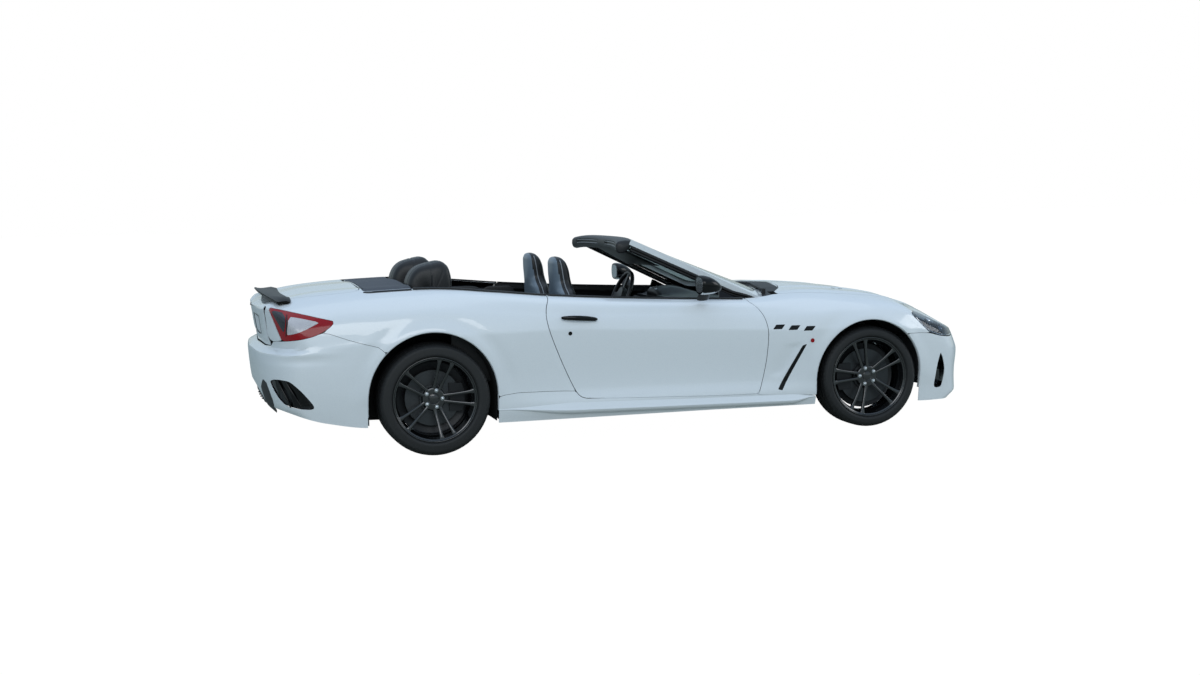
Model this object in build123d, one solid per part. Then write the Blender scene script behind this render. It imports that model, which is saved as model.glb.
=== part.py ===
"""Two-door four-seat convertible car with its roof stowed, as an assembly of separate named pieces.

Millimetres. +X is forward, +Y is to the car's left and +Z is up. The origin is on the ground,
under the middle of the car. Each piece is written to parts/NODE.step.
"""
from build123d import *
import math
import os

# ---- driving dimensions -------------------------------------------------------------------
LENGTH = 4910.0
HALF_WIDTH = 957.0
WHEELBASE = 2942.0
REAR_OVERHANG = 1074.0
TRACK_FRONT = 1586.0
TRACK_REAR = 1590.0
SKIN = 10.0                 # thickness of an outer panel
DOOR_DEPTH = 104.0          # door, outer skin to inner trim
PANEL_GAP = 8.0             # round a door or a lid
SEAM = 1.0                  # between two fixed panels
SEAT_GAP = 0.3              # between a part and what it is fastened to
BEARING = 0.05              # radial clearance of a shaft in its bore

X_TAIL = -LENGTH / 2
X_NOSE = LENGTH / 2
X_REAR = X_TAIL + REAR_OVERHANG
X_FRONT = X_REAR + WHEELBASE

# wheels: radius over the tread, section width, bead seat radius and brake disc radius
TYRE_R_FRONT, TYRE_W_FRONT = 339.5, 245.0
TYRE_R_REAR, TYRE_W_REAR = 353.0, 285.0
RIM_R = 254.0
RIM_LIP = 14.0              # flange above the bead seat
RIM_WALL = 8.0
RIM_INSET = 12.0            # rim edge inside the tyre's widest point
TYRE_WALL = 12.0
DISC_R_FRONT, DISC_R_REAR = 180.0, 175.0
DISC_T = 30.0
OFFSET = 38.0               # wheel's mounting face outboard of its centre plane
BOLT_HOLE_R = 7.0
BOLT_CIRCLE_R = 54.0
SPOKE_PAIRS = 5

# wheel arches: radius and centre of the lip circle, from the axle and the ground
ARCH_R_FRONT, ARCH_DX_FRONT, ARCH_Z_FRONT = 383.0, -7.0, 346.0
ARCH_R_REAR, ARCH_DX_REAR, ARCH_Z_REAR = 410.0, -8.0, 368.0
LINER_T = 4.0
WELL_IN_FRONT = 488.0       # inner wall of the wheel housing, from the centre plane
WELL_IN_REAR = 610.0
WELL_GROW = 16.0            # wheel housing outside the lip circle

# steering
KINGPIN_Y = 730.0
STEER_MAX = 30.0
PIN_R = 10.0

# doors
X_DOOR_FRONT = X_FRONT - 731.0      # foremost point of the door
X_DOOR_REAR = X_REAR + 721.0        # rearmost point of the door
HINGE_BACK = 90.0                   # hinge axis behind the foremost point of the door
HINGE_Y = HALF_WIDTH - 52.0
X_HINGE = X_DOOR_FRONT - HINGE_BACK
HINGE_PIN_R = 6.0
HINGE_Z = (560.0, 700.0)
HINGE_ARM = 16.0
BELT_CUT = 1200.0                   # prisms that go past the top of the body end here

# ---- body surface --------------------------------------------------------------------------
# Each row is a cross-section of the right half of the body. After x come pairs, one for each
# level from the lower edge up to the deck edge: how far the body lies inside HALF_WIDTH, and
# the height. The last column is the deck height on the centre line.
LEVELS = ("low", "sill", "waist", "crease", "shoulder", "top")
SECTIONS = (
    # x, low, sill, waist, crease, shoulder, top, centre height
    (X_TAIL - 60, (150, 340), (140, 410), (130, 500), (120, 668), (150, 780), (330, 885), 905),
    (X_TAIL + 110, (100, 322), (82, 400), (62, 500), (52, 670), (84, 815), (300, 955), 972),
    (X_REAR - 668, (84, 238), (62, 330), (44, 440), (34, 700), (76, 872), (285, 1004), 1034),
    (X_REAR - 408, (67, 198), (52, 290), (32, 400), (17, 722), (62, 892), (265, 1022), 1048),
    (X_REAR, (52, 190), (32, 280), (12, 400), (0, 738), (52, 898), (240, 1030), 1058),
    (X_REAR + 407, (64, 182), (42, 275), (40, 390), (10, 752), (56, 880), (165, 990), 1034),
    (X_REAR + 792, (72, 180), (37, 270), (50, 375), (24, 755), (48, 845), (132, 950), 1000),
    (X_REAR + 1292, (72, 180), (35, 268), (54, 370), (27, 735), (52, 825), (126, 914), 970),
    (X_FRONT - 1150, (72, 180), (37, 266), (54, 365), (29, 712), (56, 808), (134, 890), 952),
    (X_FRONT - 790, (72, 178), (39, 262), (52, 360), (25, 695), (60, 795), (157, 880), 952),
    (X_FRONT - 390, (72, 176), (45, 255), (42, 350), (15, 680), (56, 790), (225, 902), 945),
    (X_FRONT, (77, 176), (52, 260), (32, 350), (9, 680), (58, 800), (262, 880), 915),
    (X_FRONT + 250, (85, 165), (65, 255), (45, 350), (20, 665), (72, 775), (280, 840), 872),
    (X_FRONT + 400, (104, 150), (90, 250), (70, 340), (48, 640), (98, 715), (310, 778), 832),
    (X_FRONT + 560, (150, 145), (135, 245), (120, 335), (98, 600), (150, 662), (380, 722), 784),
    (X_NOSE - 120, (190, 145), (180, 240), (165, 330), (150, 540), (210, 570), (500, 616), 668),
    (X_NOSE + 60, (190, 145), (180, 240), (165, 330), (150, 430), (210, 460), (500, 490), 520),
)
# ends in plan: a superellipse of the given length and power, its tip moved back with height
NOSE_ROUND, NOSE_POWER = 560.0, 2.2
TAIL_ROUND, TAIL_POWER = 400.0, 2.6
ENDS = (
    # z, nose tip behind X_NOSE, tail tip ahead of X_TAIL
    (130, 75, 300),
    (200, 14, 190),
    (280, 16, 100),
    (338, 14, 50),
    (470, 0, 14),
    (547, 22, 5),
    (625, 58, 0),
    (668, 82, 6),
    (700, 90, 67),
    (760, 100, 50),
    (871, 110, 35),
    (955, 120, 26),
    (1150, 140, 40),
)
END_STEPS = 9
BODY_MARGIN = 40.0          # plan outline outside the body's sides


def rounded(distance, length, power):
    """Share of the full half width at a distance from the tip."""
    t = min(max(distance / length, 0.0), 1.0)
    return (1 - (1 - t) ** power) ** (1 / power)


def half_section(row, inset=0.0):
    """Closed outline of the right half at a row of SECTIONS, moved in by inset."""
    x, side, centre = row[0], row[1:-1], row[-1]
    y = [HALF_WIDTH - s[0] - inset for s in side]
    z = [s[1] for s in side]
    z[0] += inset
    z[-1] -= inset
    centre -= inset
    z_mid = z[-1] + 0.72 * (centre - z[-1])
    outline = [(0.0, z[0]), *zip(y, z), (y[-1] / 2, z_mid), (0.0, centre)]
    return Face(Wire.make_polygon([Vector(x, -py, pz) for py, pz in outline]))


def plan_outline(z, nose, tail, inset=0.0):
    """Plan outline at a height: straight sides, a round nose and a round tail, moved in by inset."""
    half = HALF_WIDTH + BODY_MARGIN - inset
    x_n, x_t = X_NOSE - nose - inset, X_TAIL + tail + inset
    steps = [math.sin(math.pi / 2 * k / END_STEPS) ** 2 for k in range(1, END_STEPS + 1)]
    nose_side = [(x_n - NOSE_ROUND * s, HALF_WIDTH * rounded(s, 1, NOSE_POWER)) for s in steps]
    tail_side = [(x_t + TAIL_ROUND * s, HALF_WIDTH * rounded(s, 1, TAIL_POWER)) for s in steps]
    nose_side = [(x, y - inset * y / HALF_WIDTH) for x, y in nose_side]
    tail_side = [(x, y - inset * y / HALF_WIDTH) for x, y in tail_side]
    side = [(x_n, 0.0), *nose_side, (nose_side[-1][0] - BODY_MARGIN, half),
            (tail_side[-1][0] + BODY_MARGIN, half), *reversed(tail_side), (x_t, 0.0)]
    return Face(Wire.make_polygon([Vector(x, -y, z) for x, y in side]))


def half_body(inset=0.0):
    """Right half of the whole body as one solid, moved in by inset."""
    along = loft([half_section(row, inset) for row in SECTIONS], ruled=True)
    ends = loft([plan_outline(*row, inset) for row in ENDS], ruled=True)
    return along & ends


def side_prism(points, y_in=0.0, y_out=1300.0):
    """Prism over a side-view outline (x, z), between two distances right of the centre plane."""
    face = Face(Wire.make_polygon([Vector(x, -y_in, z) for x, z in points]))
    return extrude(face, amount=y_out - y_in, dir=(0, -1, 0))


def plan_prism(points, z_low, z_high):
    """Prism over a plan outline (x, y) of the right half, between two heights."""
    face = Face(Wire.make_polygon([Vector(x, -y, z_low) for x, y in points]))
    return extrude(face, amount=z_high - z_low, dir=(0, 0, 1))


def grown(points, by):
    """Outline points moved outwards by a distance."""
    face = Face(Wire.make_polygon([Vector(x, y, 0) for x, y in points]))
    ring = offset(face, amount=by, kind=Kind.INTERSECTION).faces()[0].outer_wire()
    return [(v.X, v.Y) for v in (e.position_at(0) for e in ring.order_edges())]


def block(x0, x1, y0, y1, z0, z1):
    return Pos((x0 + x1) / 2, (y0 + y1) / 2, (z0 + z1) / 2) * Box(x1 - x0, y1 - y0, z1 - z0)


def rod(a, b, radius):
    """Round bar from point a to point b."""
    a, b = Vector(*a), Vector(*b)
    return Plane(a, z_dir=b - a) * Pos(0, 0, (b - a).length / 2) * Cylinder(radius, (b - a).length)


def mirrored(shape):
    return mirror(shape, about=Plane.XZ)


def join(shapes):
    total = shapes[0]
    for shape in shapes[1:]:
        total = total + shape
    return total


def solids(*shapes):
    """Separate solids of several shapes."""
    return [s for shape in shapes for s in shape.solids()]


def write(name, *shapes):
    found = solids(*shapes)
    export_step(found[0] if len(found) == 1 else Compound(children=found), f"parts/{name}.step")
    return found


os.makedirs("parts", exist_ok=True)

OUTER = half_body()
INNER = half_body(SKIN)
SKELETON = half_body(SKIN + SEAT_GAP)
SHELL = OUTER - INNER

# ---- outlines of the panels ----------------------------------------------------------------
X_DF, X_DR = X_DOOR_FRONT, X_DOOR_REAR
DOOR_LINE = (
    (X_DF - 111, 882), (X_DF - 63, 845), (X_DF - 32, 804), (X_DF - 11, 752), (X_DF, 680),
    (X_DF, 610), (X_DF - 8, 500), (X_DF - 30, 380), (X_DF - 66, 275), (X_DF - 85, 266),
    (X_DR + 271, 303), (X_DR + 215, 321), (X_DR + 188, 356), (X_DR + 95, 545),
    (X_DR + 18, 738), (X_DR, 826), (X_DR + 7, 899), (X_DR + 43, 970),
    (X_DR + 43, BELT_CUT), (X_DF - 111, BELT_CUT),
)
SILL_LINE = (
    (X_REAR + 330, 120), (X_REAR + 330, 372), (X_DR + 160, 300), (X_DR + 271, 290),
    (X_DF - 66, 252), (X_FRONT - 330, 240), (X_FRONT - 330, 120),
)
FRONT_BUMPER_LINE = (
    (X_FRONT + 200, 100), (X_FRONT + 200, 623), (X_FRONT + 432, 618), (X_FRONT + 534, 588),
    (X_FRONT + 640, 573), (X_FRONT + 690, 578), (X_FRONT + 740, 690), (X_NOSE + 100, 690),
    (X_NOSE + 100, 100),
)
HEADLAMP_LINE = (
    (X_FRONT + 368, 731), (X_FRONT + 392, 740), (X_FRONT + 434, 735), (X_FRONT + 534, 679),
    (X_FRONT + 640, 628), (X_FRONT + 770, 612), (X_FRONT + 770, 575), (X_FRONT + 640, 573),
    (X_FRONT + 534, 588), (X_FRONT + 481, 634), (X_FRONT + 391, 705),
)
HEADLAMP_IN = 520.0
REAR_BUMPER_LINE = (
    (X_REAR - 250, 100), (X_REAR - 250, 672), (X_REAR - 513, 745), (X_REAR - 668, 806),
    (X_REAR - 738, 776), (X_REAR - 914, 746), (X_REAR - 960, 744), (X_REAR - 960, 697),
    (X_TAIL - 100, 697), (X_TAIL - 100, 100),
)
TAIL_LAMP_LINE = (
    (X_TAIL - 60, 957), (X_REAR - 893, 938), (X_REAR - 776, 911), (X_REAR - 648, 879),
    (X_REAR - 604, 869), (X_REAR - 611, 845), (X_REAR - 668, 806), (X_REAR - 738, 776),
    (X_REAR - 914, 746), (X_TAIL - 60, 744),
)
TAIL_LAMP_IN = 560.0
# half plan outlines of the lids, from the centre plane out
BONNET_LINE = (
    (X_FRONT - 371, 0), (X_FRONT - 400, 240), (X_FRONT - 470, 460), (X_FRONT - 566, 620),
    (X_FRONT - 590, 700), (X_FRONT - 200, 708), (X_FRONT + 200, 690), (X_FRONT + 420, 640),
    (X_FRONT + 600, 560), (X_FRONT + 700, 470), (X_FRONT + 760, 330), (X_FRONT + 790, 150),
    (X_FRONT + 795, 0),
)
BOOT_LINE = (
    (X_TAIL - 50, 0), (X_TAIL - 50, 556), (X_REAR - 900, 575), (X_REAR - 700, 640),
    (X_REAR - 500, 664), (X_REAR - 425, 650), (X_REAR - 400, 560), (X_REAR - 390, 0),
)
BOOT_LOW = 705.0
DECK_GAP = 18.0             # between the boot lid and the stowage lid
TONNEAU_LINE = (
    (X_REAR - 390 + DECK_GAP, 0), (X_REAR - 400 + DECK_GAP, 560),
    (X_REAR - 418 + DECK_GAP, 648), (X_REAR - 360, 690), (X_REAR - 100, 700),
    (X_REAR - 90, 0),
)
DECK_DEPTH = 200.0          # how far below the deck the lids' prisms reach

DOOR_CUT = side_prism(grown(DOOR_LINE, PANEL_GAP))
SILL_CUT = side_prism(grown(SILL_LINE, SEAM))
FRONT_BUMPER_CUT = side_prism(grown(FRONT_BUMPER_LINE, SEAM))
REAR_BUMPER_CUT = side_prism(grown(REAR_BUMPER_LINE, SEAM))
HEADLAMP_CUT = side_prism(grown(HEADLAMP_LINE, SEAM), HEADLAMP_IN - SEAM)
TAIL_LAMP_CUT = side_prism(grown(TAIL_LAMP_LINE, SEAM), TAIL_LAMP_IN - SEAM)
BONNET_CUT = plan_prism(grown(BONNET_LINE, PANEL_GAP), 560, BELT_CUT)
BOOT_CUT = plan_prism(grown(BOOT_LINE, PANEL_GAP), BOOT_LOW - PANEL_GAP, BELT_CUT)
TONNEAU_CUT = plan_prism(grown(TONNEAU_LINE, PANEL_GAP), 900, BELT_CUT)
ARCH_CUT = join([
    rod((X_FRONT + ARCH_DX_FRONT, 0, ARCH_Z_FRONT), (X_FRONT + ARCH_DX_FRONT, -1300, ARCH_Z_FRONT),
        ARCH_R_FRONT),
    block(X_FRONT + ARCH_DX_FRONT - ARCH_R_FRONT, X_FRONT + ARCH_DX_FRONT + ARCH_R_FRONT,
          -1300, 0, 0, ARCH_Z_FRONT),
    rod((X_REAR + ARCH_DX_REAR, 0, ARCH_Z_REAR), (X_REAR + ARCH_DX_REAR, -1300, ARCH_Z_REAR),
        ARCH_R_REAR),
    block(X_REAR + ARCH_DX_REAR - ARCH_R_REAR, X_REAR + ARCH_DX_REAR + ARCH_R_REAR,
          -1300, 0, 0, ARCH_Z_REAR),
])
CABIN_CUT = plan_prism(((X_REAR - 90, 0), (X_REAR - 90, 690), (X_REAR + 300, 735),
                        (X_DR - 8, 770), (X_DF - 100, 770), (X_FRONT - 590, 690),
                        (X_FRONT - 470, 452), (X_FRONT - 378, 0)), 420, BELT_CUT)
# the slanted outlet behind the front wheel, and three small slots above it
OUTLET_LINE = ((X_FRONT - 455, 582), (X_FRONT - 497, 574), (X_FRONT - 662, 290), (X_FRONT - 634, 284))
SLOT_COUNT, SLOT_PITCH, SLOT_LONG, SLOT_HIGH, SLOT_LEAN = 3, 108.0, 58.0, 27.0, 26.0
SLOT_START = (X_FRONT - 688, 693.0)
SLOT_DROP = 9.0             # each slot lies this much lower than the one behind it
slot_lines = []
for k in range(SLOT_COUNT):
    x, z = SLOT_START[0] + SLOT_PITCH * k, SLOT_START[1] - SLOT_DROP * k
    slot_lines.append(((x, z), (x + SLOT_LEAN, z + SLOT_HIGH),
                       (x + SLOT_LEAN + SLOT_LONG, z + SLOT_HIGH - 1), (x + SLOT_LONG, z - 1)))
INSERT_DEPTH = 4.0          # how far the black inserts lie below the panels
UNDER_CUT = block(X_TAIL - 50, X_NOSE + 50, -800, 1, 0, 260)
FLANGE_CUT = block(X_TAIL - 50, X_NOSE + 50, -690, 1, 0, 560)


# ---- outer panels ----------------------------------------------------------------------------
side_skin = SHELL - ARCH_CUT - UNDER_CUT
fender_zone = block(X_DF - 200, X_FRONT + 820, -1300, -560, 200, BELT_CUT)
fender = (side_skin & fender_zone) - DOOR_CUT - SILL_CUT - FRONT_BUMPER_CUT - HEADLAMP_CUT
fender = fender - BONNET_CUT - CABIN_CUT
inserts = []
for line in (OUTLET_LINE, *slot_lines):
    fender = fender - side_prism(line, HALF_WIDTH - 100)
    inserts.append((half_body(INSERT_DEPTH) - half_body(SKIN)) & side_prism(
        grown(line, -SEAT_GAP), HALF_WIDTH - 100))
quarter_zone = block(X_TAIL - 50, X_DR + 300, -1300, -500, 200, BELT_CUT)
quarter = (side_skin & quarter_zone) - DOOR_CUT - SILL_CUT - REAR_BUMPER_CUT - TAIL_LAMP_CUT
quarter = quarter - BOOT_CUT - TONNEAU_CUT - CABIN_CUT
bumper_skin = OUTER - INNER
front_bumper = (bumper_skin & side_prism(FRONT_BUMPER_LINE)) - ARCH_CUT - BONNET_CUT
MOUTH = ((X_NOSE - 300, 0), (X_NOSE - 300, 430), (X_NOSE + 60, 430), (X_NOSE + 60, 0))
mouth_cut = plan_prism(MOUTH, 300, 500)
lower_intake_cut = plan_prism(((X_NOSE - 300, 0), (X_NOSE - 300, 560), (X_NOSE + 60, 560),
                               (X_NOSE + 60, 0)), 190, 275)
slot_cut = side_prism(((X_FRONT + 490, 240), (X_FRONT + 505, 400), (X_FRONT + 545, 460),
                       (X_FRONT + 585, 440), (X_FRONT + 590, 360), (X_FRONT + 570, 240)), 640)
front_bumper = front_bumper - mouth_cut - lower_intake_cut - slot_cut - HEADLAMP_CUT
headlamp = (half_body(-1.0 + SEAM) - half_body(SKIN + 40)) & side_prism(HEADLAMP_LINE, HEADLAMP_IN)
headlamp = headlamp - BONNET_CUT
rear_bumper = (bumper_skin & side_prism(REAR_BUMPER_LINE)) - ARCH_CUT
vent_cut = side_prism(((X_REAR - 842, 505), (X_REAR - 762, 350), (X_REAR - 980, 350),
                       (X_REAR - 1000, 400), (X_REAR - 980, 512)), 650)
diffuser_cut = block(X_TAIL - 50, X_TAIL + 260, -470, 1, 150, 470)
rear_bumper = rear_bumper - vent_cut - diffuser_cut - block(X_TAIL + 300, 0, -700, 1, 0, 420)
tail_lamp = (OUTER - half_body(SKIN + 50)) & side_prism(TAIL_LAMP_LINE, TAIL_LAMP_IN)
tail_lamp = tail_lamp - BOOT_CUT
bonnet = SHELL & plan_prism(BONNET_LINE, 560, BELT_CUT)
bonnet = bonnet - block(X_FRONT + 730, X_NOSE + 80, -600, 1, 500, 600)
bonnet = bonnet - side_prism(FRONT_BUMPER_LINE, 0) - side_prism(grown(HEADLAMP_LINE, PANEL_GAP), 0)
boot_lid = (OUTER - half_body(SKIN + 8)) & plan_prism(BOOT_LINE, BOOT_LOW, BELT_CUT)
boot_lid = boot_lid - side_prism(grown(REAR_BUMPER_LINE, PANEL_GAP))
tonneau = (OUTER - half_body(SKIN + 4)) & plan_prism(TONNEAU_LINE, 900, BELT_CUT)
sill = (OUTER & side_prism(SILL_LINE, HALF_WIDTH - 92)) - ARCH_CUT
door = ((OUTER - half_body(DOOR_DEPTH)) & side_prism(DOOR_LINE, 700)) - CABIN_CUT

# ---- floor, bulkheads and wheel housings ---------------------------------------------------
FLOOR_LOW, FLOOR_TOP = 180.0, 206.0
SILL_IN = HALF_WIDTH - 92 - SEAT_GAP
CABIN_HALF = 742.0
X_FIREWALL = X_FRONT - 560
X_SEATBACK = X_REAR - 60
TUNNEL_HALF, TUNNEL_TOP = 150.0, 330.0
BOOT_FLOOR = 470.0
SEAT_STEP = 400.0
X_SEAT_STEP = X_REAR + 125
BOOT_HALF = 545.0
X_BOOT_BACK = X_TAIL + 150


def well_front(grow):
    """Space of the front wheel housing on the right, grown outwards."""
    r = ARCH_R_FRONT + WELL_GROW + grow
    x = X_FRONT
    y_in, y_out = -(WELL_IN_FRONT - grow), -(HALF_WIDTH - 27 - SEAT_GAP)
    round_part = rod((x, y_in, ARCH_Z_FRONT), (x, y_out, ARCH_Z_FRONT), r)
    return round_part + block(x - r, x + r, y_out, y_in, 100, ARCH_Z_FRONT)


def well_rear(grow):
    """Space of the rear wheel housing on the right, grown outwards."""
    r = ARCH_R_REAR - WELL_GROW / 2 + grow
    x = X_REAR + ARCH_DX_REAR
    y_in, y_out = -(WELL_IN_REAR - grow), -(HALF_WIDTH - 27 - SEAT_GAP)
    round_part = rod((x, y_in, ARCH_Z_REAR), (x, y_out, ARCH_Z_REAR), r)
    return round_part + block(x - r, x + r, y_out, y_in, 100, ARCH_Z_REAR)


WELLS = well_front(LINER_T + SEAT_GAP) + well_rear(LINER_T + SEAT_GAP)
pan = join([
    block(-960, X_FIREWALL, -SILL_IN, 0, FLOOR_LOW, FLOOR_TOP),
    block(-930, X_FRONT - 420, -SILL_IN, -CABIN_HALF, FLOOR_LOW, 262),
    block(-960, X_FIREWALL, -TUNNEL_HALF, 0, FLOOR_LOW, TUNNEL_TOP),
    block(X_FIREWALL, X_FIREWALL + 20, -790, 0, FLOOR_LOW, 850),
    block(X_DF + 50, X_FIREWALL + 20, -900, -CABIN_HALF, FLOOR_LOW, 780),
    block(X_FIREWALL - 40, X_FIREWALL + 20, -700, 0, 800, 868),
    block(X_FIREWALL, X_FIREWALL + 150, -440, 0, 836, 868),
    block(X_FIREWALL, X_FRONT + 560, -480, -420, 330, 440),
    block(X_FRONT - 380, X_FRONT - 300, -560, -420, 330, 700),
    block(X_FRONT + 420, X_FRONT + 560, -760, -420, 300, 560),
    block(X_FRONT + 540, X_FRONT + 600, -640, 0, 330, 620),
    block(-960, -940, -900, 0, FLOOR_LOW, SEAT_STEP + 20),
    block(X_SEAT_STEP - 6, -940, -760, 0, SEAT_STEP, SEAT_STEP + 20),
    block(X_SEAT_STEP - 6, X_SEAT_STEP + 6, -760, 0, SEAT_STEP, BOOT_FLOOR + 15),
    block(X_SEATBACK - 20, X_SEAT_STEP, -760, 0, BOOT_FLOOR, BOOT_FLOOR + 15),
    block(X_SEATBACK - 20, X_SEATBACK, -760, 0, BOOT_FLOOR, 930),
    block(X_BOOT_BACK, X_SEATBACK, -BOOT_HALF - 20, 0, BOOT_FLOOR, BOOT_FLOOR + 15),
    block(X_BOOT_BACK, X_SEATBACK, -BOOT_HALF - 20, -BOOT_HALF, BOOT_FLOOR, 900),
    block(X_BOOT_BACK, X_BOOT_BACK + 20, -BOOT_HALF, 0, BOOT_FLOOR, 690),
    block(X_REAR - 700, X_REAR - 620, -900, -BOOT_HALF, BOOT_FLOOR, 760),
    block(X_DR - 130, X_DR - 60, -930, -CABIN_HALF, 300, 930),
    block(X_DR - 130, X_DR - 60, -930, -CABIN_HALF, FLOOR_LOW, 300),
    block(X_SEATBACK, X_DR - 60, -770, -CABIN_HALF, 420, 930),
    block(X_TAIL + 60, X_BOOT_BACK + 1, -560, -400, 480, 640),
])
pan = (pan & SKELETON) - WELLS - side_prism(grown(DOOR_LINE, PANEL_GAP), HALF_WIDTH - DOOR_DEPTH - 70)
pan = pan - plan_prism(grown(BOOT_LINE, PANEL_GAP), 880, BELT_CUT) - side_prism(SILL_LINE, SILL_IN)
pan = pan - TAIL_LAMP_CUT - HEADLAMP_CUT
hinge_arms = []
for z in HINGE_Z:
    arm_y = HINGE_Y - 115
    hinge_arms += [
        block(X_HINGE - HINGE_ARM / 2, X_HINGE + HINGE_ARM / 2, -HINGE_Y, -arm_y, z - 8, z + 8),
        block(X_HINGE - HINGE_ARM / 2, X_DF + 52, -arm_y - HINGE_ARM, -arm_y, z - 8, z + 8),
        rod((X_HINGE, -HINGE_Y, z - 8), (X_HINGE, -HINGE_Y, z + 8), HINGE_ARM / 2),
        rod((X_HINGE, -HINGE_Y, z - 30), (X_HINGE, -HINGE_Y, z + 30), HINGE_PIN_R),
    ]
BONNET_PIN = (X_FRONT - 559.0, 884.0)
BONNET_PIN_Y = 662.0
BONNET_EAR_R = 5.0
BONNET_SWING_R = 47.0       # swept by the bonnet's rear corners as it opens
TONNEAU_PIN = (X_REAR - 370.0, 1036.0)
BOOT_PIN = (X_REAR - 430.0, 1035.0)
LID_PIN_R = 4.0
POST_Y = 255.0
lid_posts = [
    block(BONNET_PIN[0] - BONNET_EAR_R, BONNET_PIN[0] + BONNET_EAR_R, -BONNET_PIN_Y,
          -BONNET_PIN_Y + 10, BONNET_PIN[1] - BONNET_SWING_R - 30, BONNET_PIN[1]),
    rod((BONNET_PIN[0], -BONNET_PIN_Y, BONNET_PIN[1]),
        (BONNET_PIN[0], -BONNET_PIN_Y + 10, BONNET_PIN[1]), BONNET_EAR_R),
    rod((BONNET_PIN[0], -BONNET_PIN_Y + 10, BONNET_PIN[1]),
        (BONNET_PIN[0], -BONNET_PIN_Y - 28, BONNET_PIN[1]), LID_PIN_R),
    block(TONNEAU_PIN[0] - 15, TONNEAU_PIN[0] + 15, -BOOT_HALF - 20, 0, 985, 1005),
    block(TONNEAU_PIN[0] - 15, TONNEAU_PIN[0] + 15, -BOOT_HALF - 20, -BOOT_HALF, 880, 1005),
    block(BOOT_PIN[0] - 7, TONNEAU_PIN[0] + 7, -POST_Y - 7, -POST_Y + 7, 985, 1005),
]
for x, z in (TONNEAU_PIN, BOOT_PIN):
    lid_posts.append(block(x - 7, x + 7, -POST_Y - 7, -POST_Y + 7, 985, z))
    lid_posts.append(rod((x, -POST_Y - 7, z), (x, -POST_Y + 7, z), 6))
    lid_posts.append(rod((x, -POST_Y - 27, z), (x, -POST_Y + 27, z), LID_PIN_R))
notch = block(TONNEAU_PIN[0] - 40, TONNEAU_PIN[0] + 16, -POST_Y - 9, -POST_Y + 9, 900, BELT_CUT)
pin_bore = rod((TONNEAU_PIN[0], -POST_Y - 28, TONNEAU_PIN[1]),
               (TONNEAU_PIN[0], -POST_Y + 28, TONNEAU_PIN[1]), LID_PIN_R + BEARING)
tonneau = tonneau - notch - pin_bore
notch = block(BOOT_PIN[0] - 16, BOOT_PIN[0] + 60, -POST_Y - 9, -POST_Y + 9, 900, BELT_CUT)
pin_bore = rod((BOOT_PIN[0], -POST_Y - 28, BOOT_PIN[1]), (BOOT_PIN[0], -POST_Y + 28, BOOT_PIN[1]),
               LID_PIN_R + BEARING)
boot_lid = boot_lid - notch - pin_bore
LIFT_PAD_X = (X_DF - 60, X_DR - 180)
LIFT_PAD_Y = 700.0
LIFT_PAD_LOW = 160.0
lift_pads = [block(x - 45, x + 45, -LIFT_PAD_Y - 35, -LIFT_PAD_Y + 35, LIFT_PAD_LOW, FLOOR_TOP)
             for x in LIFT_PAD_X]
pan = pan - rod((BONNET_PIN[0], -BONNET_PIN_Y - 120, BONNET_PIN[1]),
                (BONNET_PIN[0], -BONNET_PIN_Y + 110, BONNET_PIN[1]), BONNET_SWING_R)
pan = join([pan, *hinge_arms, *lid_posts, *lift_pads])
bonnet_lug = block(BONNET_PIN[0] - 9, BONNET_PIN[0] + 9, -BONNET_PIN_Y - 26, -BONNET_PIN_Y - 4,
                   BONNET_PIN[1] - 9, BONNET_PIN[1] + 26)
bonnet = bonnet + (bonnet_lug & half_body(SKIN / 2))
bonnet = bonnet - rod((BONNET_PIN[0], -BONNET_PIN_Y + 12, BONNET_PIN[1]),
                      (BONNET_PIN[0], -BONNET_PIN_Y - 30, BONNET_PIN[1]),
                      LID_PIN_R + BEARING)
for z in HINGE_Z:
    door = door - block(X_HINGE - 14, X_DF + 20, -HINGE_Y - 14, -700, z - 14, z + 14)
    door = door - rod((X_HINGE, -HINGE_Y, z - 36), (X_HINGE, -HINGE_Y, z + 36), HINGE_PIN_R + BEARING)
liner = (well_front(LINER_T) - well_front(0)) + (well_rear(LINER_T) - well_rear(0))
liner = (liner & SKELETON) - FRONT_BUMPER_CUT - side_prism(grown(SILL_LINE, SEAM), SILL_IN - SEAT_GAP) - block(-3000, 3000, -1300, 0, 0, 190)
liner = liner - block(X_FRONT - 160, X_FRONT + 160, -WELL_IN_FRONT - 5, 0, 0, 700)
liner = liner - block(X_REAR - 200, X_REAR + 200, -WELL_IN_REAR - 5, 0, 0, 560)


# ---- wheels: built as a left wheel about the origin, outboard towards +Y --------------------
def turned(points):
    """Solid of revolution about Y from (radius, y) points."""
    face = Face(Wire.make_polygon([Vector(r, y, 0) for r, y in points]))
    return revolve(face, Axis.Y)


def make_tyre(radius, width):
    h, b = width / 2, width / 2 - RIM_INSET
    edge = RIM_R + SEAT_GAP
    outer = [(edge, b - 10), (edge + 16, b - 8), (edge + 22, h - 3), (radius - 60, h),
             (radius - 22, h - 5), (radius - 7, h - 22), (radius, h - 48)]
    outer += [(r, -y) for r, y in reversed(outer)]
    w = TYRE_WALL
    inner = [(edge, -b + 36), (edge + 20, -h + w + 6), (radius - 60, -h + w), (radius - 22, -h + w + 12),
             (radius - 16, 0)]
    inner += [(r, -y) for r, y in reversed(inner[:-1])]
    return turned(outer + inner)


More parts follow.
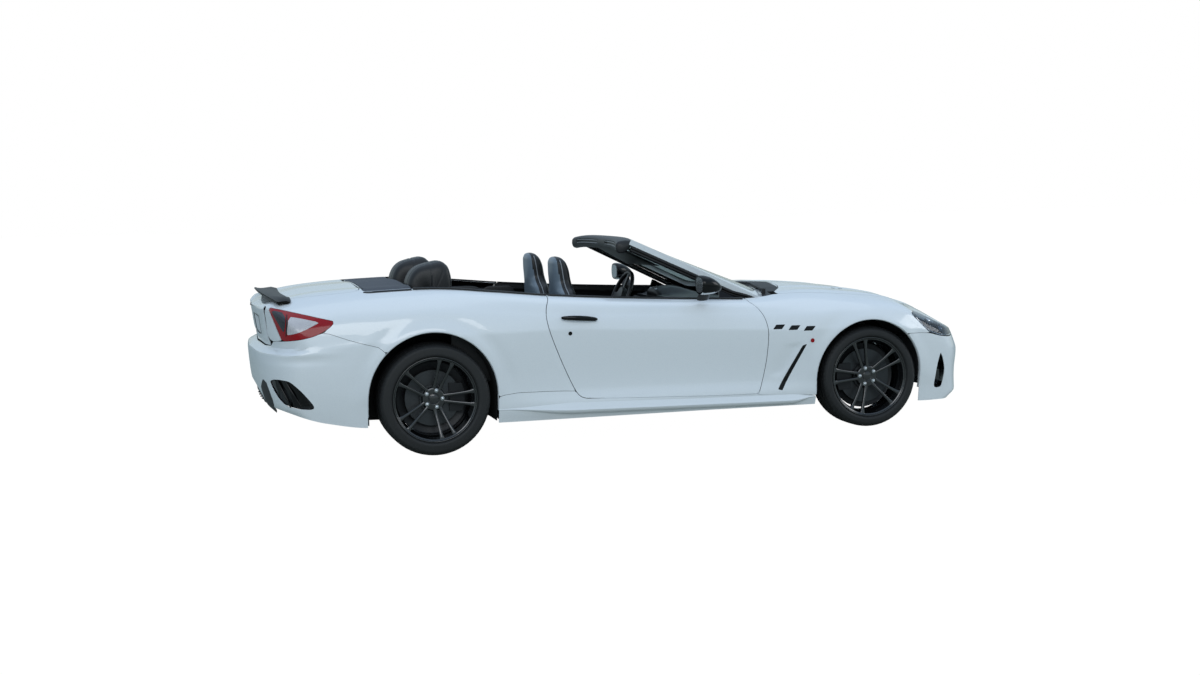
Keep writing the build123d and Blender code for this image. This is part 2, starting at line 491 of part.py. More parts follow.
def bolt_holes(radius, y0, y1):
    """Rods for the wheel bolts, one in line with each pair of spokes."""
    turns = [2 * math.pi * k / SPOKE_PAIRS for k in range(SPOKE_PAIRS)]
    places = [(BOLT_CIRCLE_R * math.cos(a), BOLT_CIRCLE_R * math.sin(a)) for a in turns]
    return join([rod((x, y0, z), (x, y1, z), radius) for x, z in places])


def make_rim(width):
    b = width / 2 - RIM_INSET
    lip = RIM_R + RIM_LIP
    shell = turned([(lip, -b), (lip, -b + 7), (RIM_R, -b + 10), (RIM_R, -b + 42), (238, -b + 60),
                    (238, b - 60), (RIM_R, b - 40), (RIM_R, b - 10), (lip, b - 7), (lip, b),
                    (246, b), (244, b - 34), (230, b - 58), (230, -b + 58), (246, -b + 38), (246, -b)])
    dish = turned([(50, OFFSET), (88, OFFSET), (215, b - 52), (241, b - 42), (241, b - 6),
                   (225, b - 6), (95, OFFSET + 34), (50, OFFSET + 32)])
    spokes = []
    for k in range(SPOKE_PAIRS):
        for side in (-1, 1):
            bar = Face(Wire.make_polygon([Vector(40, 0, side * 4), Vector(40, 0, side * 34),
                                          Vector(243, 0, side * 56), Vector(243, 0, side * 26)]))
            bar = extrude(bar, amount=200, dir=(0, 1, 0))
            spokes.append(Rot(0, 360 / SPOKE_PAIRS * k, 0) * bar)
    hub = turned([(33, OFFSET), (82, OFFSET), (82, OFFSET + 26), (33, OFFSET + 30)])
    wheel = join([shell, join(spokes) & dish, hub])
    cap = Pos(0, OFFSET + 27, 0) * Rot(90, 0, 0) * Cylinder(33.5, 6)
    wheel = wheel + cap
    return wheel - bolt_holes(BOLT_HOLE_R, OFFSET - 1, OFFSET + 40)


def make_disc(radius):
    face = OFFSET - SEAT_GAP
    disc = turned([(0, face + 8), (32.5, face + 8), (32.5, face), (86, face), (86, DISC_T / 2 - 1),
                   (radius, DISC_T / 2 - 1), (radius, -DISC_T / 2 - 1), (76, -DISC_T / 2 - 1),
                   (76, 26), (30, 26), (30, -72), (0, -72)])
    return disc - bolt_holes(BOLT_HOLE_R - 0.5, 20, OFFSET)


def make_carrier(radius, side):
    """Hub carrier with the brake caliper, on the given end of the disc (+1 is forward)."""
    carrier = turned([(30 + BEARING, -76), (54, -76), (54, -26), (30 + BEARING, -26)])
    arm = block(side * 40, side * 150, -62, -22, -40, 40) if side > 0 else block(
        -150, -40, -62, -22, -40, 40)
    carrier = carrier + (arm - rod((0, -80, 0), (0, -20, 0), 50))
    x0, x1 = sorted((side * 104, side * (radius + 26)))
    caliper = block(x0, x1, -52, 33, -88, 88)
    caliper = caliper & rod((0, -60, 0), (0, 40, 0), radius + 28)
    return carrier + (caliper - rod((0, -DISC_T / 2 - 3, 0), (0, DISC_T / 2 + 1, 0), radius + 5))


EAR_Y = KINGPIN_Y - TRACK_FRONT / 2
knuckle = make_carrier(DISC_R_FRONT, -1)
for up in (-1, 1):
    z0, z1 = sorted((up * 40, up * 112))
    ear = block(-26, 26, EAR_Y - 26, -26, z0, z1) - rod((0, -80, 0), (0, -20, 0), 50)
    knuckle = knuckle + ear
    knuckle = knuckle - rod((0, EAR_Y, up * 70), (0, EAR_Y, up * 120), PIN_R + BEARING)
steer_arm = block(-130, -20, EAR_Y - 20, EAR_Y + 6, -70, -50)
knuckle = knuckle + steer_arm
zf = TYRE_R_FRONT
arms = []
for up in (-1, 1):
    z0, z1 = sorted((zf + up * 114, zf + up * 132))
    shape = extrude(Face(Wire.make_polygon([
        Vector(X_FRONT - 26, KINGPIN_Y + 26, z0), Vector(X_FRONT + 26, KINGPIN_Y + 26, z0),
        Vector(X_FRONT + 30, 560, z0), Vector(X_FRONT + 130, 400, z0),
        Vector(X_FRONT - 130, 400, z0), Vector(X_FRONT - 30, 560, z0)])), amount=z1 - z0, dir=(0, 0, 1))
    arms += [shape, rod((X_FRONT, KINGPIN_Y, zf + up * 75), (X_FRONT, KINGPIN_Y, zf + up * 125), PIN_R)]
front_suspension = join([
    block(X_FRONT - 140, X_FRONT + 140, 0, 420 - SEAT_GAP, zf - 150, zf - 100),
    block(X_FRONT - 140, X_FRONT + 140, 340, 420 - SEAT_GAP, zf - 150, zf + 140), *arms])
front_suspension = join([front_suspension, mirrored(front_suspension)])
zr = TYRE_R_REAR
rear_carrier = Pos(X_REAR, TRACK_REAR / 2, zr) * make_carrier(DISC_R_REAR, 1)
rear_arms = [
    rear_carrier,
    rod((X_REAR, 300, zr - 60), (X_REAR, TRACK_REAR / 2 - 40, zr - 60), 22),
    rod((X_REAR, 300, zr + 60), (X_REAR, TRACK_REAR / 2 - 40, zr + 60), 18) - rod(
        (X_REAR, TRACK_REAR / 2 - 76, zr), (X_REAR, TRACK_REAR / 2 - 10, zr), 50),
    rod((X_REAR, 100, zr), (X_REAR, TRACK_REAR / 2 - 74, zr), 20),
    block(X_REAR - 40, X_REAR + 40, 270, 310, zr - 90, zr + 80),
    block(X_REAR - 40, X_REAR + 40, 660, TRACK_REAR / 2 - 26, zr - 84, zr + 84) - rod(
        (X_REAR, 600, zr), (X_REAR, 800, zr), 54),
    Pos(X_REAR, 0, zr - 20) * Sphere(130),
    block(X_REAR - 260, X_SEAT_STEP - 6 - SEAT_GAP, 260, 330, zr - 110, BOOT_FLOOR - SEAT_GAP),
    block(X_REAR - 60, X_REAR + 60, 0, 330, zr - 110, zr - 80),
]
half_axle = join(rear_arms) - rod((X_REAR, TRACK_REAR / 2 - 76, zr), (X_REAR, TRACK_REAR / 2, zr), 30 + BEARING)
rear_axle = join([half_axle, mirrored(half_axle)])

# ---- windscreen ----------------------------------------------------------------------------
BASE_SIDE = (X_FRONT - 741, 742.0, 905.0)
HEAD_SIDE = (X_FRONT - 1556, 592.0, 1296.0)
BASE_BOW, HEAD_BOW = 230.0, 62.0

def screen_slab(s0, s1, margin, t0, t1):
    """Band of the windscreen from share s0 to s1 of its slope, margin in from the sides,
    between depths t0 and t1 below its outer surface. Its arcs are level."""
    run_x, run_z = HEAD_SIDE[0] - BASE_SIDE[0], HEAD_SIDE[2] - BASE_SIDE[2]
    level_depth = math.hypot(run_x, run_z) / run_z
    sections = []
    for s in (s0, s1):
        x, z = BASE_SIDE[0] + run_x * s, BASE_SIDE[2] + run_z * s
        y = BASE_SIDE[1] + (HEAD_SIDE[1] - BASE_SIDE[1]) * s - margin
        bow = BASE_BOW + (HEAD_BOW - BASE_BOW) * s
        a, b = ([Vector(x - t * level_depth, -y, z), Vector(x + bow - t * level_depth, 0, z),
                 Vector(x - t * level_depth, y, z)] for t in (t0, t1))
        sections.append(Face(Wire([ThreePointArc(*a), Line(a[2], b[2]),
                                   ThreePointArc(b[2], b[1], b[0]), Line(b[0], a[0])])))
    return loft(sections, ruled=True)


fender = fender - screen_slab(-0.06, 1.0, -1, -60, 34 + SEAT_GAP)
glass = screen_slab(0.02, 0.93, 48, 3, 8)
frame_ring = screen_slab(-0.06, 1.0, 0, 0, 34) - screen_slab(0.06, 0.90, 56, -5, 60)
frame_ring = frame_ring - screen_slab(0.02, 0.93, 48, -5, 8 + SEAT_GAP)
frame_ring = frame_ring - plan_prism(((X_DF - 300, 0), (X_FRONT + 200, 0), (X_FRONT + 200, 900),
                                      (X_DF - 300, 900)), 400, 830)

HEADER_BACK, HEADER_FRONT = 100.0, 6.0      # how far the padded beam reaches behind the screen's top
HEADER_LOW, HEADER_HIGH = 1222.0, 1303.0
HEADER_STEPS = 12
header_plan = []
arc_r = (HEAD_SIDE[1] ** 2 + HEAD_BOW ** 2) / (2 * HEAD_BOW)
for k in range(HEADER_STEPS + 1):
    y = HEAD_SIDE[1] * k / HEADER_STEPS
    header_plan.append((HEAD_SIDE[0] + math.sqrt(arc_r ** 2 - y ** 2) - (arc_r - HEAD_BOW), y))
header = plan_prism([(x + HEADER_FRONT, y) for x, y in header_plan]
                    + [(x - HEADER_BACK, y) for x, y in reversed(header_plan)], HEADER_LOW, HEADER_HIGH)
header = header - screen_slab(-0.06, 1.4, -200, -200, 8 + SEAT_GAP)
header = join([header, mirrored(header)])
frame_ring = frame_ring + header

# ---- engine, radiator, exhaust ---------------------------------------------------------------
engine = join([
    block(X_FRONT - 330, X_FRONT + 180, -250, 250, 300, 760),
    block(X_FRONT - 330, X_FRONT - 100, -200, 200, FLOOR_TOP + 14, 300),
    block(X_FIREWALL + 20 + SEAT_GAP, X_FRONT - 330, -160, 160, 240, 560),
    block(X_FRONT - 60, X_FRONT + 60, -419.7, 419.7, 330, 380),
])
engine = engine - front_suspension.solids()[0]
mouth_mesh = (SKELETON - half_body(SKIN + 14)) & plan_prism(
    ((X_FRONT + 600, 0), (X_FRONT + 600, 470), (X_NOSE + 60, 470), (X_NOSE + 60, 0)), 286, 514)
lower_mesh = (SKELETON - half_body(SKIN + 14)) & plan_prism(
    ((X_FRONT + 560, 0), (X_FRONT + 560, 590), (X_NOSE + 60, 590), (X_NOSE + 60, 0)), 176, 282)
mesh = join([mouth_mesh, lower_mesh])
bars = [block(X_FRONT + 640, X_NOSE + 60, -430, 0, z - 4, z + 4) & (half_body(-2) - half_body(SKIN + 4))
        for z in (330, 365, 400, 435, 470)]
grille = join([mesh, *bars])
tips = []
for y in (300, 385):
    tip = rod((X_TAIL + 70, -y, 400), (X_TAIL + 330, -y, 400), 42) - rod(
        (X_TAIL + 60, -y, 400), (X_TAIL + 300, -y, 400), 37)
    tips.append(tip)
silencer = block(X_TAIL + 320, X_TAIL + 600, -470, 0, 262, BOOT_FLOOR - SEAT_GAP)
pipe = rod((X_TAIL + 590, -200, 275), (X_REAR - 120, -200, 275), 32)
exhaust = join([silencer, *tips])
diffuser = block(X_TAIL + 70, X_TAIL + 300, -470 + SEAT_GAP, 0, 330, 470 - SEAT_GAP) - block(
    X_TAIL, X_TAIL + 250, -440, -240, 350, 450)
fins = [block(X_TAIL + 60, X_TAIL + 240, -y - 5, -y + 5, 262, 335) for y in (60, 180)]
diffuser = join([diffuser, *fins])
for y in (300, 385):
    diffuser = diffuser - rod((X_TAIL, -y, 400), (X_TAIL + 400, -y, 400), 42 + SEAT_GAP)
diffuser = diffuser & OUTER
vent = (half_body(4) - half_body(SKIN + 10)) & side_prism(
    ((X_REAR - 846, 502), (X_REAR - 768, 354), (X_REAR - 976, 354), (X_REAR - 996, 400),
     (X_REAR - 976, 508)), 650)

# ---- interior --------------------------------------------------------------------------------
DASH_FRONT = X_FRONT - 640
dash = join([
    block(430, 650, -CABIN_HALF + 6, CABIN_HALF - 6, 600, 850),
    block(560, 780, -600, 600, 700, 868),
    block(X_FIREWALL - 330, X_FIREWALL - 41, -690, 690, 780, 845),
    block(400, 640, -150, 150, 420, 870),
])
dash = dash - block(X_FIREWALL - 40 - SEAT_GAP, X_FIREWALL + 100, -800, 800, 500, 900)
dash = dash - Pos(430, -390, 690) * Box(60, 360, 110)
console = join([
    block(-620, 399.7, -118, 118, TUNNEL_TOP + SEAT_GAP, 470),
    block(-420, -60, -105, 105, 470, 560),
    rod((190, 0, 460), (190, 0, 545), 14),
    Pos(190, 0, 560) * Sphere(26),
])


def slice_y(points, y0, y1, radius=0.0):
    """Solid over a side-view outline (x, z) between two y places, its long edges rounded."""
    solid = extrude(Face(Wire.make_polygon([Vector(x, y1, z) for x, z in points])), amount=y1 - y0,
                    dir=(0, -1, 0))
    return fillet(solid.edges().filter_by(GeomType.LINE), radius) if radius else solid


SEAT_Y = 374.0
cushion = slice_y(((-330, 330), (-330, 440), (-150, 452), (150, 496), (190, 470), (180, 380), (120, 330)),
                  -235, 235, 22)
back = slice_y(((-300, 430), (-250, 560), (-310, 760), (-352, 955), (-388, 1100), (-440, 1192),
                (-470, 1188), (-498, 1140), (-486, 955), (-460, 700), (-430, 430)), -230, 230, 20)
back = back - block(-600, -200, 115, 400, 990, 1300) - block(-600, -200, -400, -115, 990, 1300)
rails = [block(-300, 150, y - 15, y + 15, FLOOR_TOP + SEAT_GAP, 345) for y in (-180, 180)]
seat = join([cushion, back, *rails])
for y in (-215, 215):
    bolster = slice_y(((-300, 420), (-250, 430), (-215, 560), (-290, 760), (-340, 900), (-400, 900)),
                      y - 22, y + 22, 12)
    seat = seat + bolster
    bolster = slice_y(((-280, 420), (-280, 490), (120, 530), (160, 470), (120, 400)), y - 22, y + 22, 12)
    seat = seat + bolster
front_seats = [Pos(0, s * SEAT_Y, 0) * seat for s in (-1, 1)]
bench = slice_y(((-1200, 421), (-1180, 470), (-760, 500), (-700, 470), (-700, 421)), -600, -60, 18)
rest = slice_y(((-1180, 440), (-1120, 520), (-1215, 800), (-1258, 960), (-1330, 960), (-1330, 440)),
               -620, -60, 18)
REST_Y = 356.0
bump = slice_y(((-1262, 950), (-1172, 1030), (-1190, 1120), (-1231, 1178), (-1262, 1186), (-1330, 1168),
                (-1394, 1140), (-1429, 1098), (-1462, 1058), (-1400, 940)), -REST_Y - 150, -REST_Y + 150, 30)
bench_half = join([bench, rest])
back_trim = block(-1400, -1330, -640, 0, 440, 965) & block(-1441 + 20, 0, -640, 0, 0, 965)
bench_half = bench_half + block(-1340, -1100, -70, 0, 421, 940) + back_trim
bench_half = bench_half & block(-1420.7, 0, -760, 0, 420 + SEAT_GAP, 2000)
bench_half = bench_half - block(-1500, X_SEAT_STEP + 6 + SEAT_GAP, -760, 1, 0, BOOT_FLOOR + 15 + SEAT_GAP)
bench_half = bench_half - WELLS - well_rear(LINER_T + SEAT_GAP)
rear_deck = block(-1463, -1200, -738, 0, 966, 1000) & SKELETON
rear_heads = join([bump, rear_deck]) - bench_half
wheel_plane = Plane((205, SEAT_Y, 862), z_dir=(-math.cos(math.radians(24)), 0, math.sin(math.radians(24))))
wheel = join([Torus(178, 15), Cylinder(62, 34),
              Box(330, 34, 14), Pos(0, -90, 0) * Box(34, 160, 14)])
steering = wheel_plane * join([wheel, Pos(0, 0, -80) * Cylinder(22, 150)])
column = wheel_plane * (Pos(0, 0, -200) * Cylinder(46, 200) - Pos(0, 0, -100) * Cylinder(22 + BEARING, 110))
dash = dash - wheel_plane * (Pos(0, 0, -100) * Cylinder(30, 130)) + column - wheel_plane * (
    Pos(0, 0, -100) * Cylinder(22 + BEARING, 112))

# ---- small outside pieces ----------------------------------------------------------------------
mirror_shape = fillet(block(330, 476, -1076, -905, 946, 1066).edges(), 24)
mirror_foot = block(365, 425, -950, -862, 780, 975)
mirror_piece = (mirror_shape + mirror_foot) - half_body(-SEAT_GAP)
spoiler = plan_prism(((X_TAIL + 22, 0), (X_TAIL + 60, 420), (X_TAIL + 110, 640), (X_TAIL + 220, 640),
                      (X_TAIL + 170, 420), (X_TAIL + 150, 0)), 900, BELT_CUT)
spoiler = spoiler & side_prism(((X_TAIL + 10, 1058), (X_TAIL + 40, 1070), (X_TAIL + 240, 1000),
                                (X_TAIL + 240, 940), (X_TAIL + 20, 960)))
spoiler = spoiler - half_body(-SEAT_GAP)
wiper = join([block(905, 930, -625, -600, 870, 940), rod((917, -612, 935), (1034, -60, 940), 7)])
wiper = wiper - half_body(-SEAT_GAP)
cowl = OUTER & plan_prism(((X_FRONT - 526, 0), (X_FRONT - 541, 240), (X_FRONT - 586, 460), (X_FRONT - 641, 600), (X_FRONT - 700, 700),
    (X_FRONT - 600, 698), (X_FRONT - 578, 620), (X_FRONT - 482, 460), (X_FRONT - 412, 240), (X_FRONT - 383, 0)),
    868 + SEAT_GAP, BELT_CUT)
cowl = cowl - screen_slab(-0.06, 1.0, -1, -SEAT_GAP, 34 + SEAT_GAP) - BONNET_CUT
cowl = cowl - rod((BONNET_PIN[0], -BONNET_PIN_Y - 120, BONNET_PIN[1]),
                  (BONNET_PIN[0], -BONNET_PIN_Y + 110, BONNET_PIN[1]), BONNET_SWING_R)
cowl = max(cowl.solids(), key=lambda s: s.volume)


# how far each axle's wheels stand turned, in degrees, from one spoke pair pointing forward
WHEEL_TURN = {"front": 33.0, "rear": 0.0}


def place(shape, x, y, z):
    return Pos(x, y, z) * shape


front_tyre, front_rim = make_tyre(TYRE_R_FRONT, TYRE_W_FRONT), make_rim(TYRE_W_FRONT)
rear_tyre, rear_rim = make_tyre(TYRE_R_REAR, TYRE_W_REAR), make_rim(TYRE_W_REAR)
front_disc, rear_disc = make_disc(DISC_R_FRONT), make_disc(DISC_R_REAR)
for corner, x, half, z, pieces in (
        ("front", X_FRONT, TRACK_FRONT / 2, TYRE_R_FRONT, (front_tyre, front_rim, front_disc)),
        ("rear", X_REAR, TRACK_REAR / 2, TYRE_R_REAR, (rear_tyre, rear_rim, rear_disc))):
    for kind, piece in zip(("tyre", "rim", "brake_disc"), pieces):
        placed = place(Rot(0, -WHEEL_TURN[corner], 0) * piece, x, half, z)
        write(f"{kind}_{corner}_left", placed)
        write(f"{kind}_{corner}_right", mirrored(placed))
placed = place(knuckle, X_FRONT, TRACK_FRONT / 2, TYRE_R_FRONT)
write("knuckle_left", placed)
write("knuckle_right", mirrored(placed))
write("door_right", door)
write("door_left", mirrored(door))
write("mirror_right", mirror_piece)
write("mirror_left", mirrored(mirror_piece))
write("steering_wheel", steering)
for name, half in (("bonnet", bonnet), ("boot_lid", boot_lid), ("tonneau_lid", tonneau),
                   ("front_bumper", front_bumper), ("rear_bumper", rear_bumper),
                   ("spoiler", spoiler), ("diffuser", diffuser), ("floor_pan", pan),
                   ("rear_headrests", rear_heads), ("rear_seats", bench_half)):
    write(name, join([half, mirrored(half)]))
for name, *halves in (("fenders", fender), ("rear_quarters", max(quarter.solids(), key=lambda s: s.volume)),
                      ("sills", sill), ("headlamps", headlamp), ("tail_lamps", tail_lamp),
                      ("arch_liners", liner), ("exhaust", exhaust)):
    write(name, *halves, *[mirrored(h) for h in halves])
write("grilles", join([grille, mirrored(grille)]), vent, mirrored(vent), *inserts,
      *[mirrored(i) for i in inserts])
write("cowl_panel", join([cowl, mirrored(cowl)]), wiper)
write("engine_block", engine)
write("front_suspension", front_suspension)
write("rear_axle", rear_axle)
write("windscreen_frame", frame_ring)
write("windscreen_glass", glass)
write("dashboard", dash, console)
write("front_seats", *front_seats)
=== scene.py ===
"""Looks of an open four-seat convertible car, dressed over its CAD frame. Metres; +X forward,
+Y to the car's left, +Z up, the origin on the ground under the middle of the car."""
import math
import bpy
import numpy as np
from mathutils import Matrix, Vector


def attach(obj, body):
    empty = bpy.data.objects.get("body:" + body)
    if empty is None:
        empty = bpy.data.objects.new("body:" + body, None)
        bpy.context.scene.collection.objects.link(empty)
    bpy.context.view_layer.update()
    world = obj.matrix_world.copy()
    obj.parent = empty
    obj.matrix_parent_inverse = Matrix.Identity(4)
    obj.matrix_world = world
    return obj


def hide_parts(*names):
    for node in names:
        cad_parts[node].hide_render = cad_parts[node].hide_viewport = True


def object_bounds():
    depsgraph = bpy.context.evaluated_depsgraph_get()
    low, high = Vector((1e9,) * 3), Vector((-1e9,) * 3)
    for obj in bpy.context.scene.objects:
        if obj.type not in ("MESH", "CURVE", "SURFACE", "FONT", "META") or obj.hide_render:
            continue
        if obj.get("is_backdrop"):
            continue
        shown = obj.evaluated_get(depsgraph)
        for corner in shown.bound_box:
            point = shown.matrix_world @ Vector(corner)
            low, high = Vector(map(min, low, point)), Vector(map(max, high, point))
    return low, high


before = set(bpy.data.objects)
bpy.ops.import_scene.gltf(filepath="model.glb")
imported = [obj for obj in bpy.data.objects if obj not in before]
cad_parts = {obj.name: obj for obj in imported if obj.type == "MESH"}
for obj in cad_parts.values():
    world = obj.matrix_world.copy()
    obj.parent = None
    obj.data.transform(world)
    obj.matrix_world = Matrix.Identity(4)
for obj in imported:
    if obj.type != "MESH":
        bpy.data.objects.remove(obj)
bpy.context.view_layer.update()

# ---- driving dimensions, as in the CAD frame -------------------------------------------------
X_TAIL, X_NOSE = -2.455, 2.455
HALF_WIDTH = 0.957
X_REAR, X_FRONT = -1.381, 1.561
X_DOOR_FRONT, X_DOOR_REAR = 0.830, -0.660
WHEELS = {   # centre x, half track, tyre radius, tyre width
    "front": (X_FRONT, 0.793, 0.3395, 0.245),
    "rear": (X_REAR, 0.795, 0.353, 0.285),
}
ARCHES = ((X_FRONT - 0.007, 0.346, 0.383), (X_REAR - 0.008, 0.368, 0.410))   # x, z, radius
SHUT_GAP = 0.0042            # visible gap round a door or lid
SEAM_GAP = 0.0024            # visible gap between fixed panels
CELL = 0.013                 # size of a body cell


# ---- materials ---------------------------------------------------------------------------------
NOISE_DETAIL = 3.0
MOTTLE = (0.35, 0.65)        # noise at which a surface is all its first or all its second colour


def linear(hex_colour):
    """An sRGB hex colour as linear RGBA."""
    parts = [int(hex_colour[i:i + 2], 16) / 255 for i in (0, 2, 4)]
    return [c / 12.92 if c <= 0.04045 else ((c + 0.055) / 1.055) ** 2.4 for c in parts] + [1.0]


def add(tree, kind, settings=None, inputs=None):
    """Adds a node, gives it its settings, and sets or links each named input."""
    node = tree.nodes.new(kind)
    for name, value in (settings or {}).items():
        setattr(node, name, value)
    for name, value in (inputs or {}).items():
        if isinstance(value, bpy.types.NodeSocket):
            tree.links.new(value, node.inputs[name])
        else:
            node.inputs[name].default_value = value
    return node


def finish(name, colour, second=None, grain_mm=None, bump_mm=0.0, rough=(0.4, 0.4),
           stretch=(1, 1, 1), **shader):
    """A surface with one or two colours mottled by noise of a real grain size, its roughness
    varied between two values by the same noise, and a bump of a real depth. Other names are
    inputs of the shader, with an underscore for each space."""
    made = bpy.data.materials.new(name)
    made.use_nodes = True
    tree = made.node_tree
    bsdf = tree.nodes["Principled BSDF"]
    bsdf.inputs["Base Color"].default_value = linear(colour)
    bsdf.inputs["Roughness"].default_value = rough[0]
    for key, value in shader.items():
        bsdf.inputs[key.replace("_", " ")].default_value = value
    if grain_mm:
        place = add(tree, "ShaderNodeTexCoord").outputs["Object"]
        scaled = add(tree, "ShaderNodeMapping", inputs={"Vector": place, "Scale": stretch})
        noise = add(tree, "ShaderNodeTexNoise", inputs={"Vector": scaled.outputs[0],
                    "Scale": 1000.0 / grain_mm, "Detail": NOISE_DETAIL}).outputs["Fac"]
        if second:
            mix = add(tree, "ShaderNodeValToRGB", inputs={"Fac": noise})
            for stop, place_at, hex_colour in zip(mix.color_ramp.elements, MOTTLE, (colour, second)):
                stop.position, stop.color = place_at, linear(hex_colour)
            tree.links.new(mix.outputs["Color"], bsdf.inputs["Base Color"])
        if rough[0] != rough[1]:
            spread = add(tree, "ShaderNodeMapRange", inputs={"Value": noise, "To Min": rough[0],
                         "To Max": rough[1]})
            tree.links.new(spread.outputs["Result"], bsdf.inputs["Roughness"])
        if bump_mm:
            bump = add(tree, "ShaderNodeBump", inputs={"Height": noise, "Distance": bump_mm / 1000,
                       "Strength": 1.0})
            tree.links.new(bump.outputs["Normal"], bsdf.inputs["Normal"])
    return made


# pearl white two-coat enamel: faint mica mottle under a hard clear coat that mirrors the sky
PAINT = finish("pearl_white_enamel", "E3E8EC", "E9EDF0", 3.0, rough=(0.26, 0.30), Coat_Weight=1.0,
               Coat_Roughness=0.03, Coat_IOR=1.5)
# black enamel on cast alloy: dark mirror with soft-edged lights
BLACK_ENAMEL = finish("gloss_black_enamel", "08090A", "0B0C0E", 2.0, rough=(0.12, 0.18),
                      Coat_Weight=1.0, Coat_Roughness=0.03)
# satin black acrylic of the spoiler: wide, weak lights
SATIN = finish("satin_black_acrylic", "050506", "08090A", 4.0, rough=(0.35, 0.45),
               Specular_IOR_Level=0.15)
# moulded black polypropylene: fine leather-like grain, no gloss
PLASTIC = finish("moulded_black_polypropylene", "101112", "17181A", 1.2, bump_mm=0.12, rough=(0.5, 0.62))
# gloss black acrylic of the trim: small, clear lights
GLOSS_PLASTIC = finish("gloss_black_acrylic", "050506", "08090A", 4.0, rough=(0.10, 0.15),
                       Specular_IOR_Level=0.3)
# needled black felt of the arch liners and the carpet: swallows nearly all light
LINER = finish("needled_black_felt", "060606", "0A0A0A", 2.0, bump_mm=0.4, rough=(0.9, 0.97))
RUBBER = finish("moulded_tyre_rubber", "111213", "18191A", 3.0, bump_mm=0.15, rough=(0.52, 0.66))
SEAL = finish("extruded_black_rubber", "0B0B0C", "101011", 2.0, rough=(0.45, 0.6))
# full-grain black leather: pebble grain, low sheen
LEATHER = finish("full_grain_black_leather", "121315", "1A1B1E", 1.6, bump_mm=0.22, rough=(0.36, 0.5))
PIPING = finish("silver_grey_piping", "8D9299", "A0A5AC", 2.0, bump_mm=0.2, rough=(0.35, 0.5))
SHELL_GREY = finish("satin_grey_seat_shell", "6A7885", "788693", 3.0, rough=(0.28, 0.36))
# woven roof cloth of the tonneau: a dark cloth whose blue-grey tint and part of its lightness are painted
# reflection of the sky
CLOTH = finish("woven_roof_cloth_painted_sky_tint", "32363E", "454A54", 1.4, bump_mm=0.30, rough=(0.55, 0.7))
CHROME = finish("bright_chrome_plate", "C9CCCF", "D6D9DC", 6.0, rough=(0.06, 0.12), Metallic=1.0)
ALLOY = finish("cast_aluminium", "8B8E91", "A3A6A8", 2.4, bump_mm=0.2, rough=(0.42, 0.58), Metallic=1.0)
IRON = finish("machined_grey_iron", "3E4042", "505254", 1.5, rough=(0.34, 0.5), Metallic=1.0)
CALIPER = finish("dark_anodised_alloy", "1A1B1D", "232427", 2.0, rough=(0.35, 0.45), Metallic=0.4)
STEEL = finish("brushed_stainless_steel", "9EA1A4", "B2B5B8", 2.0, rough=(0.22, 0.34), Metallic=1.0)
PAN = finish("stoved_grey_primer", "33363A", "3D4044", 6.0, bump_mm=0.2, rough=(0.6, 0.75))
RED_LENS = finish("red_moulded_acrylic", "8C0310", "A00514", 5.0, rough=(0.08, 0.12), Coat_Weight=0.2,
                  Coat_Roughness=0.02, Specular_IOR_Level=0.3)
PLATE_WHITE = finish("white_plate_enamel", "D9DBDD", "E2E4E6", 5.0, rough=(0.3, 0.4))
REFLECTOR = finish("vacuum_metallised_reflector", "B8BCC0", "D0D3D6", 9.0, rough=(0.1, 0.3), Metallic=0.9)
GLASS = finish("laminated_green_glass", "DDE8E4", rough=(0.02, 0.02), Transmission_Weight=1.0, IOR=1.45)
CLEAR = finish("clear_polycarbonate", "98A4B2", rough=(0.03, 0.03), Transmission_Weight=1.0, IOR=1.40)


# ---- mesh helpers ------------------------------------------------------------------------------
def cubic(start, end, start_slope, end_slope, span, t):
    """Cubic between two values with a slope at each, at a share t of the span between them."""
    return (start * (1 + 2 * t) * (1 - t) ** 2 + start_slope * span * t * (1 - t) ** 2
            + end * t * t * (3 - 2 * t) + end_slope * span * t * t * (t - 1))


def smooth(knots, values, at):
    """Cubic through the knots that never overshoots: end slopes are flat and inner slopes are the
    harmonic mean of the neighbouring chords. values may hold several columns."""
    knots, values, at = np.asarray(knots, float), np.asarray(values, float), np.asarray(at, float)
    flat = values.reshape(len(knots), -1)
    chord = np.diff(flat, axis=0) / np.diff(knots)[:, None]
    product = chord[:-1] * chord[1:]
    total = np.where(product > 0, chord[:-1] + chord[1:], 1.0)
    slope = np.zeros_like(flat)
    slope[1:-1] = np.where(product > 0, 2 * product / total, 0.0)
    i = np.clip(np.searchsorted(knots, at, side="right") - 1, 0, len(knots) - 2)
    h = np.diff(knots)[i]
    t = np.clip((at - knots[i]) / h, 0, 1)[:, None]
    out = cubic(flat[i], flat[i + 1], slope[i], slope[i + 1], h[:, None], t)
    return out.reshape((len(at),) + values.shape[1:])


def piece(name, points, faces, body, slot, materials, face_slots=None, sharp=None):
    """A smooth-shaded mesh from points (n, 3) and a list of faces, riding on a body. An edge whose
    faces meet at more than sharp degrees is shaded as an edge."""
    mesh = bpy.data.meshes.new(name)
    mesh.from_pydata(np.asarray(points, float).tolist(), [], faces)
    made = bpy.data.objects.new(name, mesh)
    bpy.context.collection.objects.link(made)
    for material in materials if isinstance(materials, (list, tuple)) else [materials]:
        mesh.materials.append(material)
    if face_slots is not None:
        mesh.polygons.foreach_set("material_index", np.asarray(face_slots, np.int32))
    mesh.polygons.foreach_set("use_smooth", np.full(len(mesh.polygons), True))
    mesh.update()
    if sharp:
        mesh.set_sharp_from_angle(angle=math.radians(sharp))
    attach(made, body)
    return made


